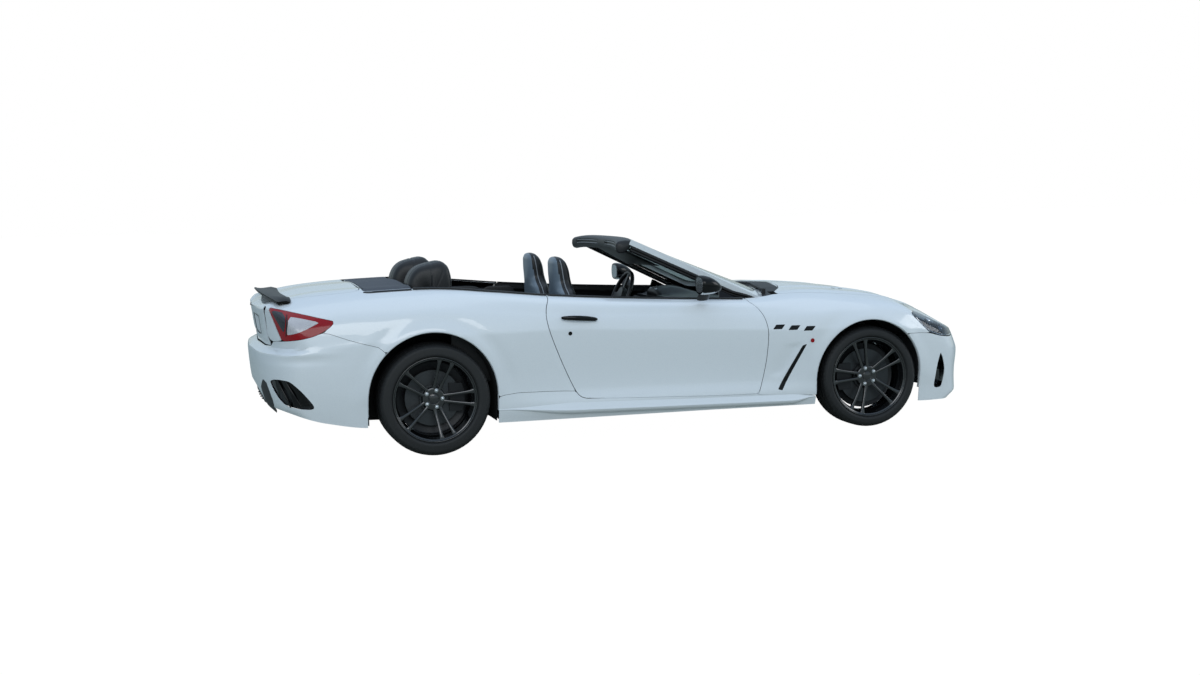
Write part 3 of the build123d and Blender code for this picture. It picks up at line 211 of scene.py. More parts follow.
def grid_faces(rows, columns, wrap=False):
    """Quads of a rows by columns grid of vertices; wrap joins the last column to the first."""
    r = np.arange(rows - 1)[:, None] * columns
    c = np.arange(columns if wrap else columns - 1)[None, :]
    d = (c + 1) % columns
    return np.stack([r + c, r + d, r + columns + d, r + columns + c], -1).reshape(-1, 4).tolist()


def tube_faces(rows, columns):
    """Faces of a closed tube of loops: its wall and its two filled ends."""
    return grid_faces(rows, columns, wrap=True) + [
        list(range(columns))[::-1], [(rows - 1) * columns + k for k in range(columns)]]


def flipped(mesh):
    """The same mesh with its faces turned the other way."""
    points, faces = mesh
    return points, [face[::-1] for face in faces]


def mirrored(mesh):
    """The same mesh on the other side of the centre plane."""
    points, faces = mesh
    return np.asarray(points) * (1, -1, 1), [face[::-1] for face in faces]


def bevel(made, width):
    """Rounds the edges of a piece whose faces meet at more than 35 degrees."""
    modifier = made.modifiers.new("edge", "BEVEL")
    modifier.width, modifier.segments = width, 2
    modifier.limit_method, modifier.angle_limit = "ANGLE", math.radians(35)


# ---- body surface ------------------------------------------------------------------------------
# Cross-sections: x, then (distance inside HALF_WIDTH, height) in mm for each level from the lower
# edge to the deck edge, and the height of the deck on the centre line.
SECTIONS = (
    (X_TAIL - 0.060, (150, 340), (140, 410), (130, 500), (120, 668), (150, 780), (330, 885), 905),
    (X_TAIL + 0.110, (100, 322), (82, 400), (62, 500), (52, 670), (84, 815), (300, 955), 972),
    (X_REAR - 0.668, (84, 238), (62, 330), (44, 440), (34, 700), (76, 872), (285, 1004), 1034),
    (X_REAR - 0.408, (67, 198), (52, 290), (32, 400), (17, 722), (62, 892), (265, 1022), 1048),
    (X_REAR, (52, 190), (32, 280), (12, 400), (0, 738), (52, 898), (240, 1030), 1058),
    (X_REAR + 0.407, (64, 182), (42, 275), (40, 390), (10, 752), (56, 880), (165, 990), 1034),
    (X_REAR + 0.792, (72, 180), (37, 270), (50, 375), (24, 755), (48, 845), (132, 950), 1000),
    (X_REAR + 1.292, (72, 180), (35, 268), (54, 370), (27, 735), (52, 825), (126, 914), 970),
    (X_FRONT - 1.150, (72, 180), (37, 266), (54, 365), (29, 712), (56, 808), (134, 890), 952),
    (X_FRONT - 0.790, (72, 178), (39, 262), (52, 360), (25, 695), (60, 795), (157, 880), 952),
    (X_FRONT - 0.390, (72, 176), (45, 255), (42, 350), (15, 680), (56, 790), (225, 902), 945),
    (X_FRONT, (77, 176), (52, 260), (32, 350), (9, 680), (58, 800), (262, 880), 915),
    (X_FRONT + 0.250, (85, 165), (65, 255), (45, 350), (20, 665), (72, 775), (280, 840), 872),
    (X_FRONT + 0.400, (104, 150), (90, 250), (70, 340), (48, 640), (98, 715), (310, 778), 832),
    (X_FRONT + 0.560, (150, 145), (135, 245), (120, 335), (98, 600), (150, 662), (380, 722), 784),
    (X_NOSE - 0.120, (190, 145), (180, 240), (165, 330), (150, 540), (210, 570), (500, 616), 668),
    (X_NOSE + 0.060, (190, 145), (180, 240), (165, 330), (150, 430), (210, 460), (500, 490), 520),
)
NOSE_ROUND, NOSE_POWER = 0.560, 2.2
TAIL_ROUND, TAIL_POWER = 0.400, 2.6
# height, nose tip behind X_NOSE, tail tip ahead of X_TAIL, in mm
ENDS = np.array((
    (130, 75, 300), (200, 14, 190), (280, 16, 100), (338, 14, 50), (470, 0, 14), (547, 22, 5),
    (625, 58, 0), (668, 82, 6), (700, 90, 67), (760, 100, 50), (871, 110, 35), (955, 120, 26),
    (1150, 140, 40),
)) / 1000
LEVEL_KNOTS = np.array([0.0, 0.10, 0.20, 0.52, 0.66, 0.90, 1.25, 1.60])
CREASE = 3                   # number of the level where the sides have their crease
CREASE_BREAK = 0.65          # how much of the slope breaks at the crease
BODY_ROWS = 330
PLATE_RECESS = 0.030
ROW_SPREAD = 0.055           # how far rows are drawn from the ends towards mid-length
FAIRING = 0.024              # width of the blend of the sides into the rounded ends
MID_DECK = 0.72              # crown of the deck halfway out

table_x = np.array([row[0] for row in SECTIONS])
table_y = HALF_WIDTH - np.array([[level[0] for level in row[1:-1]] for row in SECTIONS]) / 1000
table_z = np.array([[level[1] for level in row[1:-1]] for row in SECTIONS]) / 1000
table_c = np.array([[row[-1]] for row in SECTIONS]) / 1000


def level_weights(at):
    """Weights of the levels at each share of the way up: a cubic through the levels whose slopes
    are those of the neighbouring chords, with a soft break of slope at the crease."""
    n = len(LEVEL_KNOTS)
    eye = np.eye(n)
    chord = np.diff(eye, axis=0) / np.diff(LEVEL_KNOTS)[:, None]
    slope = np.vstack([chord[0], (chord[:-1] + chord[1:]) / 2, chord[-1]])
    below, above = slope.copy(), slope.copy()
    below[CREASE] = (1 - CREASE_BREAK) * slope[CREASE] + CREASE_BREAK * chord[CREASE - 1]
    above[CREASE] = (1 - CREASE_BREAK) * slope[CREASE] + CREASE_BREAK * chord[CREASE]
    above[-1] = below[-1] = 0.0
    i = np.clip(np.searchsorted(LEVEL_KNOTS, at, side="right") - 1, 0, n - 2)
    h = np.diff(LEVEL_KNOTS)[i][:, None]
    t = ((at - LEVEL_KNOTS[i]) / h[:, 0])[:, None]
    return cubic(eye[i], eye[i + 1], above[i], below[i + 1], h, t)


def end_tips(z):
    """x of the nose tip and the tail tip at each height."""
    tips = smooth(ENDS[:, 0], ENDS[:, 1:], z)
    return X_NOSE - tips[:, 0], X_TAIL + tips[:, 1]


def plan_half(x, z):
    """Half width of the rounded plan outline: a superellipse at each end, pulled to the tip."""
    nose, tail = end_tips(z)
    t = np.clip((nose - x) / NOSE_ROUND, 0, 1)
    front = HALF_WIDTH * (1 - (1 - t) ** NOSE_POWER) ** (1 / NOSE_POWER)
    t = np.clip((x - tail) / TAIL_ROUND, 0, 1)
    back = HALF_WIDTH * (1 - (1 - t) ** TAIL_POWER) ** (1 / TAIL_POWER)
    return np.minimum(front, back)


def level_at(x):
    """Half width and height of all eight levels at each x, before the ends are rounded."""
    y, z, c = smooth(table_x, table_y, x), smooth(table_x, table_z, x), smooth(table_x, table_c, x)
    top_y, top_z = y[:, -1:], z[:, -1:]
    y = np.hstack([y, top_y / 2, np.zeros_like(top_y)])
    z = np.hstack([z, top_z + MID_DECK * (c - top_z), c])
    return y, z


def step(x, low, high):
    """Smooth rise from 0 at low to 1 at high."""
    t = np.clip((x - low) / (high - low), 0, 1)
    return t * t * (3 - 2 * t)


ARCH_FLARE, ARCH_HOLLOW, OUTLET_HOLLOW = 0.007, 0.004, 0.009
TAIL_RIDGE, TAIL_HOLLOW = 0.007, 0.006
INNER_RIDGE, OUTER_RIDGE = 0.007, 0.006


def sculpt(x, z):
    """How far a side stands out from the plain surface, in metres: a flare round each wheel arch
    with a hollow outside it, a hollow behind the side outlet, and a ridge over a hollow at the tail."""
    out = np.zeros_like(x)
    for cx, cz, radius in ARCHES:
        away = np.hypot(x - cx, np.maximum(z - cz, 0)) - radius
        out += ARCH_FLARE * np.exp(-((away - 0.012) / 0.030) ** 2) * step(z, 0.30, 0.42)
        out -= ARCH_HOLLOW * np.exp(-((away - 0.085) / 0.035) ** 2) * step(z, 0.34, 0.50)
    from_outlet = (x - 0.93) - 0.62 * (z - 0.42)        # along x, from a line that slants like it
    hollow = step(from_outlet, -0.12, 0.0) * (1 - step(from_outlet, 0.012, 0.03))
    hollow *= step(z, 0.36, 0.42) * (1 - step(z, 0.565, 0.60)) * step(x, 0.80, 0.86)
    out -= OUTLET_HOLLOW * hollow
    rear = 1 - step(x, X_REAR - 0.90, X_REAR - 0.48)
    out += rear * (TAIL_RIDGE * np.exp(-((z - 0.672) / 0.016) ** 2)
                   - TAIL_HOLLOW * np.exp(-((z - 0.630) / 0.024) ** 2))
    return out


def rounded_end(x, z, side, edge):
    """Half width after the plan outline has rounded the ends: the side is scaled down smoothly
    where it, or the edge of the deck, would reach past the outline."""
    reach, cap = np.maximum(edge, side), plan_half(x, z)
    near = np.maximum(FAIRING - np.abs(reach - cap), 0) / FAIRING
    return side * (np.minimum(reach, cap) - near ** 2 * FAIRING / 4).clip(0) / np.maximum(reach, 1e-9)


def ridges(x, y):
    """Height of the bonnet's ridges: two run back from the grille and lean outwards, and one runs
    along each of its edges."""
    line = 0.300 + 0.060 * (X_FRONT + 0.70 - x)
    inner = np.exp(-((y - line) / 0.042) ** 2) * step(x, 1.00, 1.30) * (1 - step(x, 2.05, 2.30))
    outer = np.exp(-((y - 0.640) / 0.050) ** 2) * step(x, 0.90, 1.25) * (1 - step(x, 1.70, 2.00))
    return INNER_RIDGE * inner + OUTER_RIDGE * outer


def body_grid():
    """Points (rows along x, columns up the side and over the deck) of the right half: each level
    runs from its tail tip to its nose tip, closing on the centre plane at both ends."""
    spans = np.diff(LEVEL_KNOTS)
    t = np.concatenate([[0.0]] + [k + s * np.arange(1, n + 1) / n for k, s, n in zip(
        LEVEL_KNOTS, spans, np.maximum(np.round(spans / CELL).astype(int), 4))])
    weights = level_weights(t)
    share = np.linspace(0, 1, BODY_ROWS)
    share = np.clip(share - ROW_SPREAD * np.sin(2 * np.pi * (share - 0.5)), 0, 1)
    points = np.zeros((BODY_ROWS, len(t), 3))
    for j, w in enumerate(weights):
        nose, tail = np.array([X_NOSE - 0.02]), np.array([X_TAIL + 0.02])
        for _ in range(30):
            nose = 0.5 * nose + 0.5 * end_tips(level_at(nose)[1] @ w)[0]
            tail = 0.5 * tail + 0.5 * end_tips(level_at(tail)[1] @ w)[1]
        x = tail + (nose - tail) * share
        y, z = level_at(x)
        points[:, j] = np.stack([x, y @ w, z @ w], -1)
    x, z = points[..., 0].ravel(), points[..., 2].ravel()
    side = points[..., 1].ravel()
    y = rounded_end(x, z, side, level_at(x)[0][:, 5])
    top_share = step(np.tile(t, BODY_ROWS), LEVEL_KNOTS[4], LEVEL_KNOTS[5])
    z = z + ridges(x, y) * top_share
    y = y + sculpt(x, z) * (1 - top_share) * (y > 0.5)
    # recess for the number plate
    plate = (1 - step(y, 0.270, 0.310)) * step(z, 0.735, 0.755) * (1 - step(z, 0.865, 0.890))
    x = x + PLATE_RECESS * plate * (x < X_REAR - 0.5)
    return np.stack([x, -y, z], -1).reshape(points.shape)


BODY = body_grid()


def grid_normals(grid):
    """Unit normals of a grid of points, from the cross product of its two differences."""
    along, across = np.gradient(grid, axis=0), np.gradient(grid, axis=1)
    normal = np.cross(along, across)
    length = np.linalg.norm(normal, axis=-1, keepdims=True)
    return normal / np.maximum(length, 1e-12)


BODY_NORMAL = grid_normals(BODY)


def on_side(x, z, out=0.0):
    """Points of the right side at x and z, standing out by a distance."""
    x, z = np.broadcast_arrays(np.atleast_1d(np.asarray(x, float)), np.asarray(z, float))
    shape = x.shape
    x, z = x.ravel(), z.ravel()
    t = np.linspace(0, LEVEL_KNOTS[5], 240)
    weights = level_weights(t)
    y, level_z = level_at(x)
    heights = np.maximum.accumulate(level_z @ weights.T, axis=1)
    k = np.clip((heights < z[:, None]).sum(axis=1) - 1, 0, len(t) - 2)
    row = np.arange(len(x))
    part = np.clip((z - heights[row, k]) / np.maximum(heights[row, k + 1] - heights[row, k], 1e-6), 0, 1)
    halves = y @ weights.T
    side = halves[row, k] * (1 - part) + halves[row, k + 1] * part
    y = rounded_end(x, z, side, y[:, 5]) + sculpt(x, z)
    return np.stack([x, -(y + out), z], -1).reshape(shape + (3,))


def on_deck(x, y, out=0.0):
    """Points of the right half seen from above, at x and a distance y from the centre plane."""
    x, y = np.broadcast_arrays(np.asarray(x, float), np.asarray(y, float))
    shape = x.shape
    x, y = x.ravel(), np.abs(y.ravel())
    t = np.linspace(LEVEL_KNOTS[4], LEVEL_KNOTS[7], 160)
    level_y, level_z = level_at(x)
    weights = level_weights(t)
    heights, halves = level_z @ weights.T, level_y @ weights.T
    flat_x = np.repeat(x, len(t)).reshape(halves.shape)
    halves = rounded_end(flat_x.ravel(), heights.ravel(), halves.ravel(),
                         np.repeat(level_y[:, 5], len(t))).reshape(halves.shape)
    k = np.clip((halves > y[:, None]).sum(axis=1) - 1, 0, len(t) - 2)
    row = np.arange(len(x))
    part = (y - halves[row, k]) / np.minimum(halves[row, k + 1] - halves[row, k], -1e-6)
    z = heights[row, k] + np.clip(part, 0, 1) * (heights[row, k + 1] - heights[row, k])
    return np.stack([x, -y, z + ridges(x, y) + out], -1).reshape(shape + (3,))


def on_nose(y, z, out=0.0):
    """Points of the rounded nose at a distance y from the centre plane and a height."""
    y, z = np.broadcast_arrays(np.asarray(y, float), np.asarray(z, float))
    nose, _ = end_tips(z.ravel())
    share = (1 - (np.abs(y.ravel()) / HALF_WIDTH).clip(0, 1) ** NOSE_POWER) ** (1 / NOSE_POWER)
    x = nose - NOSE_ROUND * (1 - share) + out
    return np.stack([x, y.ravel(), z.ravel()], -1).reshape(y.shape + (3,))


def on_tail(y, z, out=0.0):
    """Points of the rounded tail at a distance y from the centre plane and a height."""
    y, z = np.broadcast_arrays(np.asarray(y, float), np.asarray(z, float))
    _, tail = end_tips(z.ravel())
    share = (1 - (np.abs(y.ravel()) / HALF_WIDTH).clip(0, 1) ** TAIL_POWER) ** (1 / TAIL_POWER)
    x = tail + TAIL_ROUND * (1 - share) - out
    return np.stack([x, y.ravel(), z.ravel()], -1).reshape(y.shape + (3,))


# ---- outlines of the panels --------------------------------------------------------------------
def mm(*points):
    """Outline points given as x in metres and the other place in mm."""
    return np.array([(x, v / 1000) for x, v in points])


CORNER_CUT = 0.22            # share of an edge cut off at each end


def rounded_outline(outline, rounds=2):
    """Corner cutting: every edge loses a share at each end, so corners turn into short arcs."""
    outline, rest = np.asarray(outline, float), 1 - CORNER_CUT
    for _ in range(rounds):
        ahead = np.roll(outline, -1, axis=0)
        near, far = rest * outline + CORNER_CUT * ahead, CORNER_CUT * outline + rest * ahead
        outline = np.stack([near, far], 1).reshape(-1, 2)
    return outline


def tight(outline, reach):
    """Outline with two more points beside each corner, so that rounding stays within reach of it."""
    outline = np.asarray(outline, float)
    beside = []
    for other in (np.roll(outline, 1, 0), np.roll(outline, -1, 0)):
        away = other - outline
        length = np.linalg.norm(away, axis=1, keepdims=True)
        beside.append(outline + away * np.minimum(reach / length, 0.4))
    return np.stack([beside[0], outline, beside[1]], 1).reshape(-1, 2)


def distance(outline, a, b):
    """Signed distance of points (a, b) from a closed outline, negative inside."""
    a, b = a[..., None], b[..., None]
    start, end = outline, np.roll(outline, -1, axis=0)
    run = end - start
    share = ((a - start[:, 0]) * run[:, 0] + (b - start[:, 1]) * run[:, 1]) / (run ** 2).sum(-1)
    share = np.clip(share, 0, 1)
    away = np.hypot(a - start[:, 0] - share * run[:, 0], b - start[:, 1] - share * run[:, 1]).min(-1)
    crosses = (start[:, 1] > b) != (end[:, 1] > b)
    rise = np.where(run[:, 1] == 0, 1e-12, run[:, 1])
    hit = a < start[:, 0] + (b - start[:, 1]) / rise * run[:, 0]
    return np.where((crosses & hit).sum(-1) % 2 == 1, -away, away)


DOOR = mm(
    (X_DOOR_FRONT - 0.111, 882), (X_DOOR_FRONT - 0.063, 845), (X_DOOR_FRONT - 0.032, 804),
    (X_DOOR_FRONT - 0.011, 752), (X_DOOR_FRONT, 680), (X_DOOR_FRONT, 610),
    (X_DOOR_FRONT - 0.008, 500), (X_DOOR_FRONT - 0.030, 380), (X_DOOR_FRONT - 0.062, 285),
    (X_DOOR_FRONT - 0.085, 266), (X_DOOR_REAR + 0.271, 303), (X_DOOR_REAR + 0.215, 317),
    (X_DOOR_REAR + 0.182, 356), (X_DOOR_REAR + 0.095, 545), (X_DOOR_REAR + 0.018, 738),
    (X_DOOR_REAR, 826), (X_DOOR_REAR + 0.007, 899), (X_DOOR_REAR + 0.043, 970),
    (X_DOOR_REAR + 0.043, 1200), (X_DOOR_FRONT - 0.111, 1200))
SILL = mm(
    (X_REAR + 0.330, 120), (X_REAR + 0.330, 370), (X_DOOR_REAR + 0.190, 362),
    (X_DOOR_REAR + 0.320, 330), (X_DOOR_FRONT - 0.130, 290), (X_DOOR_FRONT - 0.070, 262),
    (X_FRONT - 0.330, 242), (X_FRONT - 0.330, 120))
FRONT_BUMPER = mm(
    (X_FRONT + 0.200, 50), (X_FRONT + 0.200, 623), (X_FRONT + 0.432, 618), (X_FRONT + 0.534, 588),
    (X_FRONT + 0.640, 573), (X_FRONT + 0.690, 578), (X_FRONT + 0.725, 760), (X_NOSE + 0.100, 760),
    (X_NOSE + 0.100, 50))
HEADLAMP = mm(
    (X_FRONT + 0.322, 744), (X_FRONT + 0.330, 757), (X_FRONT + 0.350, 761), (X_FRONT + 0.392, 756),
    (X_FRONT + 0.434, 742), (X_FRONT + 0.534, 686), (X_FRONT + 0.640, 640), (X_FRONT + 0.770, 630),
    (X_FRONT + 0.770, 577), (X_FRONT + 0.640, 573), (X_FRONT + 0.534, 588), (X_FRONT + 0.462, 612),
    (X_FRONT + 0.434, 626), (X_FRONT + 0.400, 656), (X_FRONT + 0.330, 732))
REAR_BUMPER = mm(
    (X_REAR - 0.250, 50), (X_REAR - 0.250, 672), (X_REAR - 0.513, 745), (X_REAR - 0.668, 806),
    (X_REAR - 0.738, 776), (X_REAR - 0.914, 746), (X_REAR - 0.960, 744), (X_REAR - 0.960, 697),
    (X_TAIL - 0.100, 697), (X_TAIL - 0.100, 50))
TAIL_LAMP = mm(
    (X_REAR - 0.984, 955), (X_REAR - 0.960, 951), (X_REAR - 0.893, 938), (X_REAR - 0.776, 911),
    (X_REAR - 0.648, 879), (X_REAR - 0.604, 869), (X_REAR - 0.611, 845), (X_REAR - 0.668, 806),
    (X_REAR - 0.738, 776), (X_REAR - 0.900, 749), (X_REAR - 0.910, 747), (X_REAR - 0.917, 760),
    (X_REAR - 0.976, 935))
# outlines in plan: x, then distance from the centre plane
BONNET = mm(
    (X_FRONT - 0.371, -400), (X_FRONT - 0.371, 0), (X_FRONT - 0.400, 240), (X_FRONT - 0.470, 460),
    (X_FRONT - 0.566, 620), (X_FRONT - 0.606, 690), (X_FRONT - 0.612, 704), (X_FRONT - 0.560, 706),
    (X_FRONT - 0.200, 708), (X_FRONT + 0.200, 690), (X_FRONT + 0.420, 640), (X_FRONT + 0.600, 560),
    (X_FRONT + 0.700, 470), (X_FRONT + 0.760, 330), (X_FRONT + 0.790, 150), (X_FRONT + 0.795, 0),
    (X_FRONT + 0.795, -400))
BOOT = mm(
    (X_TAIL - 0.050, -400), (X_TAIL - 0.050, 556), (X_REAR - 0.900, 575), (X_REAR - 0.700, 640),
    (X_REAR - 0.500, 664), (X_REAR - 0.425, 650), (X_REAR - 0.400, 560), (X_REAR - 0.390, 0),
    (X_REAR - 0.390, -400))
DECK_GAP = 0.018             # slot between the boot lid and the tonneau cover
TONNEAU = mm(
    (X_REAR - 0.390 + DECK_GAP, -400), (X_REAR - 0.390 + DECK_GAP, 0),
    (X_REAR - 0.400 + DECK_GAP, 560), (X_REAR - 0.418 + DECK_GAP, 648), (X_REAR - 0.360, 690),
    (X_REAR - 0.120, 699), (X_REAR - 0.092, 700), (X_REAR - 0.090, 670), (X_REAR - 0.090, 0),
    (X_REAR - 0.090, -400))
CABIN = mm(
    (X_REAR - 0.090, -400), (X_REAR - 0.090, 670), (X_REAR - 0.089, 695), (X_REAR - 0.060, 698),
    (X_REAR + 0.300, 735), (X_DOOR_REAR - 0.008, 770),
    (X_DOOR_FRONT - 0.100, 770), (X_FRONT - 0.604, 712), (X_FRONT - 0.560, 640), (X_FRONT - 0.470, 452),
    (X_FRONT - 0.378, 0), (X_FRONT - 0.378, -400))
MOUTH = mm((-0.460, 300), (-0.460, 500), (0.460, 500), (0.460, 300))         # y and z
LOW_INTAKE = mm((-0.570, 196), (-0.550, 272), (0.550, 272), (0.570, 196))
CORNER_SLOT = mm(
    (X_FRONT + 0.510, 230), (X_FRONT + 0.504, 250), (X_FRONT + 0.522, 385), (X_FRONT + 0.546, 470),
    (X_FRONT + 0.556, 470), (X_FRONT + 0.582, 390), (X_FRONT + 0.590, 345), (X_FRONT + 0.572, 240),
    (X_FRONT + 0.562, 230))
CORNER_VENT = mm(
    (X_REAR - 0.992, 503), (X_REAR - 0.955, 517), (X_REAR - 0.888, 511), (X_REAR - 0.866, 494),
    (X_REAR - 0.810, 439), (X_REAR - 0.742, 352), (X_REAR - 0.744, 336), (X_REAR - 0.766, 331),
    (X_REAR - 0.828, 337), (X_REAR - 0.905, 352), (X_REAR - 0.941, 388), (X_REAR - 0.972, 446))
DIFFUSER = mm((-0.490, 50), (-0.470, 455), (0.470, 455), (0.490, 50))

grid_x, grid_y, grid_z = BODY[..., 0], -BODY[..., 1], BODY[..., 2]
from_side = {name: distance(rounded_outline(outline), grid_x, grid_z) for name, outline in (
    ("door", DOOR), ("sill", SILL), ("front_bumper", FRONT_BUMPER), ("headlamp", HEADLAMP),
    ("rear_bumper", REAR_BUMPER), ("tail_lamp", TAIL_LAMP))}
from_top = {name: distance(rounded_outline(outline), grid_x, grid_y) for name, outline in (
    ("bonnet", BONNET), ("boot", BOOT), ("tonneau", TONNEAU), ("cabin", CABIN))}
arch = np.minimum(*[np.hypot(grid_x - cx, np.maximum(grid_z - cz, 0)) - radius
                    for cx, cz, radius in ARCHES])
# lowest heights of what is outlined in plan, and how far in or back the other outlines hold
BONNET_FOOT, BOOT_FOOT, TONNEAU_FOOT, CABIN_FOOT = 0.56, 0.705, 0.90, 0.42
LAMP_INNER_Y, CORNER_INNER_Y, NOSE_OPENING_X = 0.50, 0.62, X_FRONT + 0.3
bonnet_opening = np.maximum(from_top["bonnet"], BONNET_FOOT - grid_z)
bonnet = np.maximum(bonnet_opening, X_FRONT - 0.575 - grid_x)
boot = np.maximum.reduce([from_top["boot"], BOOT_FOOT - grid_z, -from_side["rear_bumper"]])
tonneau = np.maximum.reduce([from_top["tonneau"], TONNEAU_FOOT - grid_z, X_REAR - 0.396 - grid_x])
cabin = np.maximum(from_top["cabin"], CABIN_FOOT - grid_z)
door, sill = from_side["door"], from_side["sill"]
headlamp = np.maximum(from_side["headlamp"], LAMP_INNER_Y - grid_y)
tail_lamp = np.maximum.reduce([from_side["tail_lamp"], -boot, LAMP_INNER_Y - grid_y])
front_bumper, rear_bumper = from_side["front_bumper"], from_side["rear_bumper"]
mouth = np.maximum(distance(rounded_outline(MOUTH, 3), -grid_y, grid_z), NOSE_OPENING_X - grid_x)
low_intake = np.maximum(distance(rounded_outline(LOW_INTAKE), -grid_y, grid_z), NOSE_OPENING_X - grid_x)
slot = np.maximum(distance(rounded_outline(CORNER_SLOT), grid_x, grid_z), CORNER_INNER_Y - grid_y)
corner_vent = np.maximum(distance(rounded_outline(CORNER_VENT), grid_x, grid_z), CORNER_INNER_Y - grid_y)
diffuser = np.maximum(distance(rounded_outline(DIFFUSER), -grid_y, grid_z), grid_x - X_TAIL - 0.42)


def keep(inside=(), outside=(), gap=SEAM_GAP):
    """Field that is negative where a panel has metal: inside some outlines and outside others,
    half a gap short of each. An outline may come with a gap of its own."""
    fields = [(f[0] + f[1] / 2 if isinstance(f, tuple) else f + gap / 2) for f in inside]
    fields += [(f[1] / 2 - f[0] if isinstance(f, tuple) else gap / 2 - f) for f in outside]
    return np.maximum.reduce(fields)


def trimmed(field, grid=BODY, normal=BODY_NORMAL):
    """Marching squares: the part of a grid where the field is negative, as points, normals and
    faces. Cells that the outline crosses are cut where the field is zero along their edges."""
    rows, columns = field.shape
    inside = field < 0
    index = np.arange(rows * columns).reshape(rows, columns)
    points, normals = [grid.reshape(-1, 3)], [normal.reshape(-1, 3)]
    count = rows * columns

    def crossings(a, b):
        """Vertices where the field changes sign from slice a to slice b, and their numbers."""
        nonlocal count
        cut = inside[a] != inside[b]
        share = (field[a] / np.where(cut, field[a] - field[b], 1.0))[cut][:, None]
        share = np.clip(share, 0.02, 0.98)      # a cut vertex never falls on a grid vertex
        points.append(grid[a][cut] * (1 - share) + grid[b][cut] * share)
        normals.append(normal[a][cut] * (1 - share) + normal[b][cut] * share)
        numbers = np.full(cut.shape, -1)
        numbers[cut] = count + np.arange(cut.sum())
        count += int(cut.sum())
        return numbers

    along = crossings(np.s_[:-1, :], np.s_[1:, :])
    across = crossings(np.s_[:, :-1], np.s_[:, 1:])
    corner = [index[:-1, :-1], index[1:, :-1], index[1:, 1:], index[:-1, 1:]]
    edge = [along[:, :-1], across[1:, :], along[:, 1:], across[:-1, :]]
    state = [inside[:-1, :-1], inside[1:, :-1], inside[1:, 1:], inside[:-1, 1:]]
    code = sum(s.astype(int) << k for k, s in enumerate(state))
    faces = []
    for case in range(1, 16):
        cells = code == case
        if not cells.any():
            continue
        ring = []
        for k in range(4):
            if case >> k & 1:
                ring.append(corner[k][cells])
            if (case >> k & 1) != (case >> (k + 1) % 4 & 1):
                ring.append(edge[k][cells])
        faces += np.stack(ring, -1).tolist()
    points, normals = np.vstack(points), np.vstack(normals)
    used = np.unique(np.concatenate([np.ravel(f) for f in faces]))
    renumber = np.full(len(points), -1)
    renumber[used] = np.arange(len(used))
    faces = [renumber[f].tolist() for f in faces]
    length = np.linalg.norm(normals[used], axis=1, keepdims=True)
    return points[used], normals[used] / np.maximum(length, 1e-9), faces


def mirror_join(points, faces, weld=True):
    """A right half and its mirror image as one mesh, sharing the vertices on the centre plane."""
    points = np.asarray(points, float)
    middle = (np.abs(points[:, 1]) < 1e-5) & weld
    numbers = np.where(middle, np.arange(len(points)), 0)
    numbers[~middle] = len(points) + np.arange((~middle).sum())
    other = [numbers[f[::-1]].tolist() for f in faces]
    return np.vstack([points, points[~middle] * (1, -1, 1)]), list(faces) + other


def thick(points, inner, faces):
    """A closed shell: the outer faces, the inner points under them facing the other way, and a rim
    along every edge that only one face uses. Gives points, faces and a slot for each face."""
    n = len(points)
    starts = np.concatenate(faces)
    ends = np.concatenate([f[1:] + f[:1] for f in faces])
    key = np.minimum(starts, ends) * n + np.maximum(starts, ends)
    _, first, counts = np.unique(key, return_index=True, return_counts=True)
    border = first[counts == 1]
    a, b = starts[border], ends[border]
    rim = np.stack([b, a, a + n, b + n], -1).tolist()
    back = [[v + n for v in reversed(f)] for f in faces]
    slots = np.zeros(2 * len(faces) + len(rim), int)
    slots[len(faces):2 * len(faces)] = 1
    return np.vstack([points, inner]), list(faces) + back + rim, slots


def panel(name, field, body, slot, materials, depth=0.004, node=None, side="both", inner=None,
          dark_rim=9.0):
    """A sheet-metal panel from the body surface. side is right, left, pair (two halves that don't
    touch) or both (halves welded on the centre plane). Its back takes the second material, and so
    do the faces of its rim that are higher than dark_rim."""
    points, normals, faces = trimmed(field)
    back = points - normals * depth if inner is None else inner(points, normals)
    if side in ("both", "pair"):
        n = len(points)
        middle = np.abs(points[:, 1]) < 1e-5
        back[middle, 1] = 0.0
        outer, both = mirror_join(points, faces, side == "both")
        back, _ = mirror_join(np.where(middle[:, None], back, back + (0, -1e-4, 0)), faces, False)
        keep_rows = np.concatenate([np.full(n, True), ~middle if side == "both" else np.full(n, True)])
        mesh = thick(outer, back[keep_rows], both)
    else:
        mesh = thick(points, back, faces)
        if side == "left":
            mesh = (*mirrored(mesh[:2]), mesh[2])
    points, faces, slots = mesh
    first_rim = 2 * (slots == 1).sum()
    slots[first_rim:] = [points[f][:, 2].mean() > dark_rim for f in faces[first_rim:]]
    made = piece(name, points, faces, body, slot, materials, slots if len(materials) > 1 else None, 40)
    if node:
        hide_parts(node)


DOOR_DEPTH, DOOR_INNER_Y = 0.098, -0.772
DOOR_LEAST = 0.003           # thinnest place of a door, at its rim


def door_inner(points, normals):
    """Back of the right door: a door's depth inside its skin, but no nearer to the centre plane
    than DOOR_INNER_Y."""
    back = points.copy()
    back[:, 1] = np.maximum(np.minimum(points[:, 1] + DOOR_DEPTH, DOOR_INNER_Y), points[:, 1] + DOOR_LEAST)
    return back


